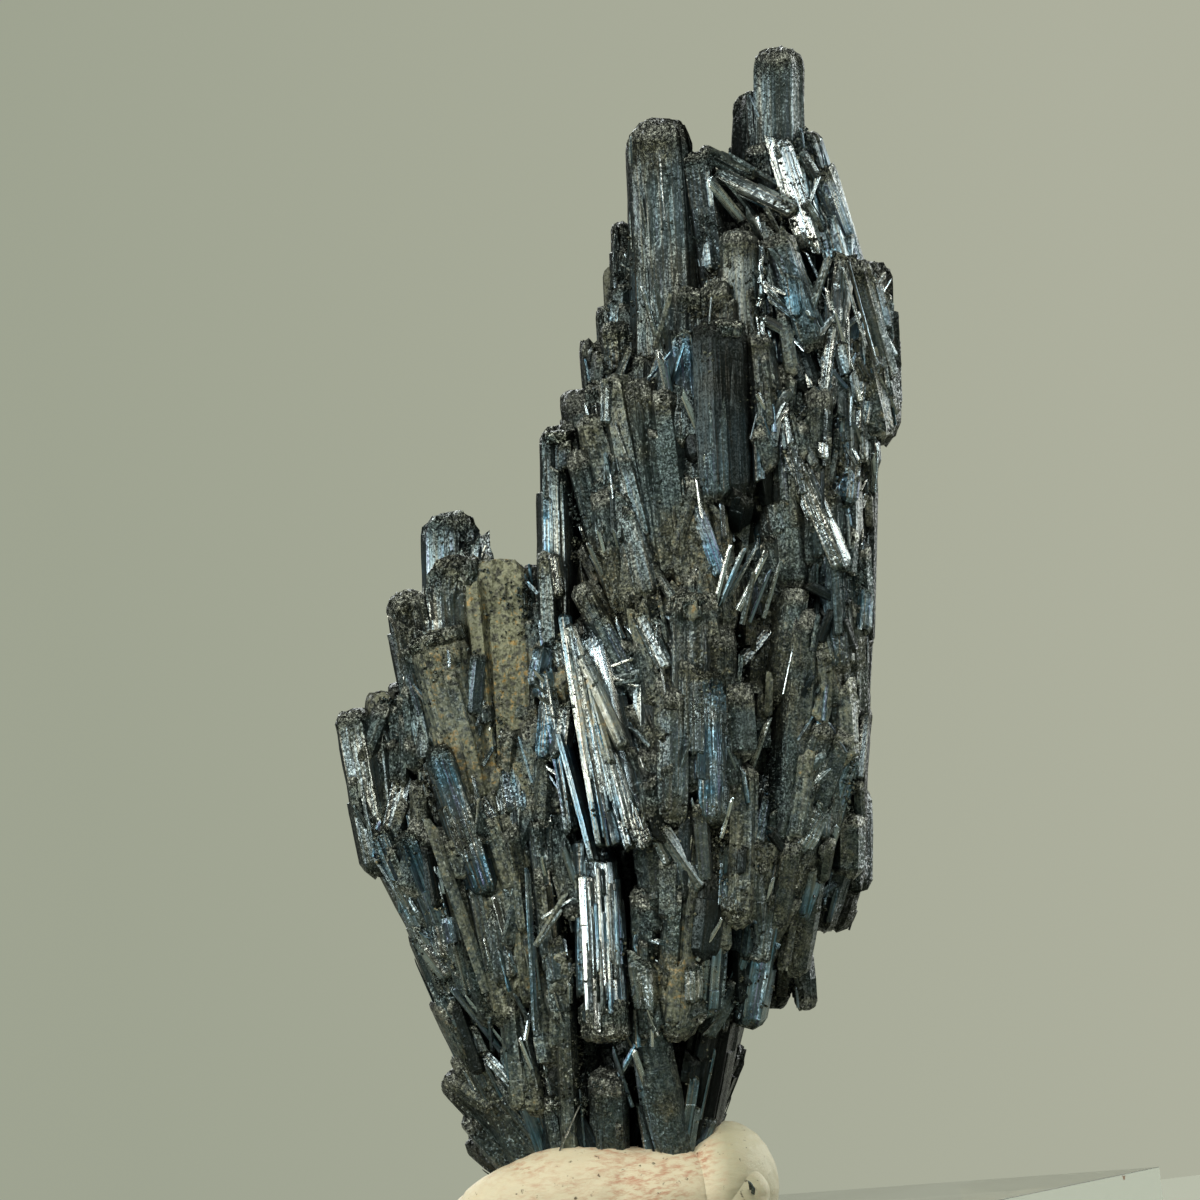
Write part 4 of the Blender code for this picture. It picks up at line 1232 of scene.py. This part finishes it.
# The bright splinters
# Thin mirror-faced blades that cross the others: a V at the left of the wide dark blade, a curved
# fan at its right, a spray at the middle and ragged combs beside the bright pair.
# Each row: the tip and the foot on the sheet, how far forward it lies, how wide it is, its surface
splinters = (
    (-2.1, 56.8, -1.2, 52.8, 5.9, 0.42, "gleam"),
    (-1.75, 56.3, -1.35, 54.0, 6.0, 0.30, "blue"),
    (-2.35, 60.3, -1.75, 57.2, 5.2, 0.40, "steel"),
    (-2.9, 60.0, -1.9, 56.4, 5.1, 0.34, "silver"),
    (-1.5, 59.6, -2.3, 57.0, 5.3, 0.30, "olive"),
    (-1.0, 54.9, 0.05, 52.4, 6.3, 0.34, "gleam"),
    (0.1, 51.6, 0.5, 50.5, 6.5, 0.26, "gleam"),
    (-0.9, 57.1, -1.7, 54.6, 5.9, 0.28, "blue"),
    (-3.1, 54.2, -2.3, 51.4, 5.6, 0.34, "steel"),
    (3.05, 60.1, 4.9, 58.2, 5.0, 0.50, "silver"),
    (3.3, 59.4, 5.1, 58.1, 5.2, 0.30, "blue"),
    (3.5, 61.9, 5.3, 58.9, 4.7, 0.42, "slate"),
    (3.9, 62.9, 5.5, 59.6, 4.6, 0.50, "dark"),
    (6.3, 61.4, 5.2, 58.2, 5.0, 0.50, "steel"),
    (7.0, 61.0, 8.2, 57.1, 4.2, 0.24, "silver"),
    (7.3, 61.3, 8.6, 56.6, 3.9, 0.20, "blue"),
    (6.6, 58.9, 7.6, 55.6, 4.4, 0.22, "gleam"),
    (4.35, 54.9, 1.9, 50.8, 5.7, 0.62, "steel"),
    (4.1, 54.3, 2.2, 50.4, 5.9, 0.24, "silver"),
    (0.45, 65.35, 2.05, 63.4, 3.5, 0.62, "gleam"),
    (1.2, 65.4, 2.7, 63.6, 3.2, 0.26, "blue"),
    (0.3, 66.4, 4.2, 64.2, 2.9, 0.34, "dark"),
    (1.4, 66.6, 4.9, 64.6, 2.7, 0.40, "steel"),
    (3.2, 64.0, 4.2, 62.2, 3.5, 0.30, "olive"),
    (2.2, 63.9, 3.4, 61.6, 3.7, 0.36, "steel"),
    (1.4, 47.2, 0.7, 44.4, 7.3, 0.26, "gleam"),
    (2.1, 47.0, 0.9, 44.2, 7.2, 0.30, "blue"),
    (2.8, 47.3, 1.3, 44.6, 7.0, 0.26, "silver"),
    (3.2, 46.9, 1.8, 44.0, 6.9, 0.34, "gleam"),
    (3.4, 46.0, 2.4, 43.4, 6.7, 0.24, "blue"),
    (2.6, 45.9, 2.0, 43.3, 7.0, 0.30, "steel"),
    (3.9, 46.4, 3.1, 43.6, 6.3, 0.24, "silver"),
    (-5.1, 48.0, -4.5, 45.9, 6.0, 0.30, "gleam"),
    (-4.35, 48.0, -4.0, 46.7, 6.2, 0.24, "blue"),
    (-5.6, 47.3, -4.7, 45.2, 5.9, 0.24, "silver"),
    (-2.7, 41.1, -5.2, 40.4, 6.9, 0.26, "steel"),
    (-2.9, 40.6, -5.0, 40.2, 7.1, 0.30, "dark"),
    (-3.0, 40.2, -5.3, 41.0, 7.0, 0.22, "silver"),
    (-3.4, 41.6, -5.4, 40.9, 6.8, 0.20, "gleam"),
    (-8.3, 41.0, -6.6, 39.3, 5.6, 0.24, "gleam"),
    (-8.2, 40.3, -6.6, 39.0, 5.7, 0.20, "blue"),
    (-8.0, 39.7, -6.4, 38.7, 5.8, 0.26, "silver"),
    (-8.3, 40.7, -6.9, 38.8, 5.4, 0.18, "steel"),
    (-7.7, 38.9, -6.3, 38.4, 5.9, 0.18, "gleam"),
    (3.35, 40.9, 3.3, 38.8, 6.5, 0.44, "olive"),
    (3.3, 38.7, 2.3, 35.8, 6.6, 0.52, "silver"),
    (6.1, 36.9, 4.3, 35.1, 6.2, 0.60, "slate"),
    (6.3, 36.2, 4.6, 34.6, 6.3, 0.26, "blue"),
    (7.7, 36.6, 7.5, 34.8, 4.2, 0.62, "gleam"),
    (-8.6, 31.2, -8.2, 23.2, 5.4, 0.34, "blue"),
    (-6.9, 32.6, -5.8, 29.2, 6.3, 0.50, "blue"),
    (-7.9, 31.8, -7.7, 30.9, 6.1, 0.30, "gleam"),
    (-6.7, 30.0, -8.2, 27.4, 6.2, 0.30, "olive"),
    (-6.9, 29.2, -8.0, 27.6, 6.4, 0.24, "steel"),
    (-6.3, 29.8, -7.9, 28.8, 6.3, 0.20, "silver"),
    (-13.9, 28.1, -12.1, 24.9, 3.9, 0.46, "blue"),
    (-12.3, 25.2, -9.9, 22.1, 3.9, 0.40, "blue"),
    (-11.7, 24.9, -9.7, 22.4, 4.1, 0.18, "gleam"),
    (-13.5, 33.6, -10.6, 25.1, 5.2, 0.70, "olive"),
    (-3.0, 24.6, -2.4, 22.0, 5.4, 0.30, "blue"),
    (-2.9, 23.1, -4.1, 20.9, 5.6, 0.32, "blue"),
    (-3.3, 22.2, -2.5, 19.9, 5.7, 0.40, "gleam"),
    (-3.7, 23.0, -2.2, 20.3, 5.5, 0.22, "blue"),
    (-4.4, 22.4, -3.4, 19.4, 5.4, 0.26, "teal"),
    (-2.4, 27.7, -1.4, 27.5, 7.0, 0.34, "gleam"),
    (2.4, 15.8, 2.5, 15.3, 6.1, 0.26, "dark"),
    (2.6, 15.5, 2.55, 15.1, 6.1, 0.22, "steel"),
)
growth = Growth()
chance = random.Random(51)
for tip_x, tip_z, foot_x, foot_z, forward, wide, skin in splinters:
    foot_end = Vector((foot_x, -(forward - 0.5), foot_z))
    tip_end = Vector((tip_x, -forward - 0.2, tip_z))
    place = stand_along(tip_end, foot_end, math.radians(chance.uniform(-25, 25)))
    shift, length = somewhere(chance), (tip_end - foot_end).length
    grow_sliver(growth, place, length, wide, 0.45 * wide, SKINS[skin], shift, chance)
growth.build("bright_splinters")


# The crumbs
# Grains of stibnite and broken ends, caked on the worn caps and in the hollows. They lie in
# patches, and none lies on the putty.
def scatter_crumbs(name, crystals, side, count, seed):
    """Strews eight-sided grains over the surface, where a cloudy pattern is thick."""
    lowest = 17.5
    chance = random.Random(seed)
    surface = lay_of_the_land(crystals, side)
    cells, hollows = find_hollows(surface)
    growth = Growth()
    made = 0
    while made < count:
        column, row = chance.choice(hollows if chance.random() < 0.7 else cells)
        x, z = column * CELL + chance.uniform(-0.12, 0.12), row * CELL + chance.uniform(-0.12, 0.12)
        where_thick = noise.fractal(Vector((x * 0.32, z * 0.26, side * 3.0)), 0.8, 2.0, 3)
        if where_thick < 0.02 + chance.uniform(0, 0.16) or z < lowest:
            continue
        round_about = ((column - 3, row), (column + 3, row), (column, row + 3), (column, row - 3))
        if any(cell not in surface for cell in round_about):
            continue
        made += 1
        out = surface[column, row] + chance.uniform(-0.12, 0.04)
        size = chance.choice((0.05, 0.06, 0.08, 0.11))
        angle, axis = chance.uniform(0, 6.28), Vector((chance.uniform(-1, 1), chance.uniform(-1, 1), 0.4))
        turn = Matrix.Rotation(angle, 4, axis)
        place = LEANED @ Matrix.Translation((x, -side * out, z)) @ turn
        skin = SKINS[chance.choice(("dark", "dark", "steel", "silver", "olive"))]
        shift = Vector((chance.uniform(0, 90), chance.uniform(0, 90), 0))
        ring = []
        for way in ((1, 0, 0), (0, 1, 0), (-1, 0, 0), (0, -1, 0), (0, 0, 1), (0, 0, -1)):
            local = Vector(way) * size * chance.uniform(0.6, 1.35)
            ring.append(growth.add(place @ local, local, shift, skin, 0.8))
        for step in range(4):
            after = (step + 1) % 4
            growth.faces.append((ring[step], ring[after], ring[4]))
            growth.faces.append((ring[after], ring[step], ring[5]))
    return growth.build(name)


scatter_crumbs("front_crumbs", front, 1, 11000, 41)
scatter_crumbs("rear_crumbs", rear, -1, 5000, 42)


# The painted shade in the hollows
# Painted shade: whatever lies deep in the hollows between the crystals is darkened towards black,
# and so is the foot, as a painted shadow of the prongs. How deep a point lies is measured against
# the mean height of what is round it.
REACH = 6


def mean_height(crystals, side):
    """The surface averaged over a few millimetres, as a grid that starts at its lowest cell."""
    surface = lay_of_the_land(crystals, side)
    columns, rows = [column for column, _ in surface], [row for _, row in surface]
    left, low = min(columns) - REACH, min(rows) - REACH
    wide, tall = max(columns) - left + REACH + 1, max(rows) - low + REACH + 1
    total, count = np.zeros((wide, tall)), np.zeros((wide, tall))
    for (column, row), out in surface.items():
        total[column - left, row - low] = out
        count[column - left, row - low] = 1.0
    for grid in (total, count):
        for axis in (0, 1):
            grid[:] = sum(np.roll(grid, shift, axis) for shift in range(-REACH, REACH + 1))
    return np.where(count > 0, total / np.maximum(count, 1.0), -9.0), left, low


SHADE_FROM, SHADE_DEPTH = 0.15, 1.2
# Painted shadow: below the foot's height and right of its left edge, points darken more the lower they lie
SHADED_FOOT, FOOT_HEIGHT, LEFT_OF_FOOT = 0.55, 25.5, -5.0
flat_again = np.array(LEANED.inverted())
sides = (mean_height(front, 1), mean_height(rear, -1))
for piece in grown:
    corners = np.empty(len(piece.data.vertices) * 3, dtype=np.float32)
    piece.data.vertices.foreach_get("co", corners)
    x, away, z = (corners.reshape(-1, 3) @ flat_again[:3, :3].T + flat_again[:3, 3]).T
    depth = np.zeros(len(x))
    for (grid, left, low), out, here in zip(sides, (-away, away), (away < 0, away >= 0)):
        column = np.clip(np.rint(x / CELL).astype(int) - left, 0, grid.shape[0] - 1)
        row = np.clip(np.rint(z / CELL).astype(int) - low, 0, grid.shape[1] - 1)
        depth = np.where(here, grid[column, row] - out, depth)
    foot_shadow = SHADED_FOOT * np.clip((FOOT_HEIGHT - z) / 6.0, 0.0, 1.0) * (x > LEFT_OF_FOOT)
    held = piece.data.attributes.new("hollow_shade", "FLOAT", "POINT")
    hollow_shade_amount = np.clip((depth - SHADE_FROM) / SHADE_DEPTH + foot_shadow, 0.0, 1.0)
    held.data.foreach_set("value", hollow_shade_amount.astype(np.float32))
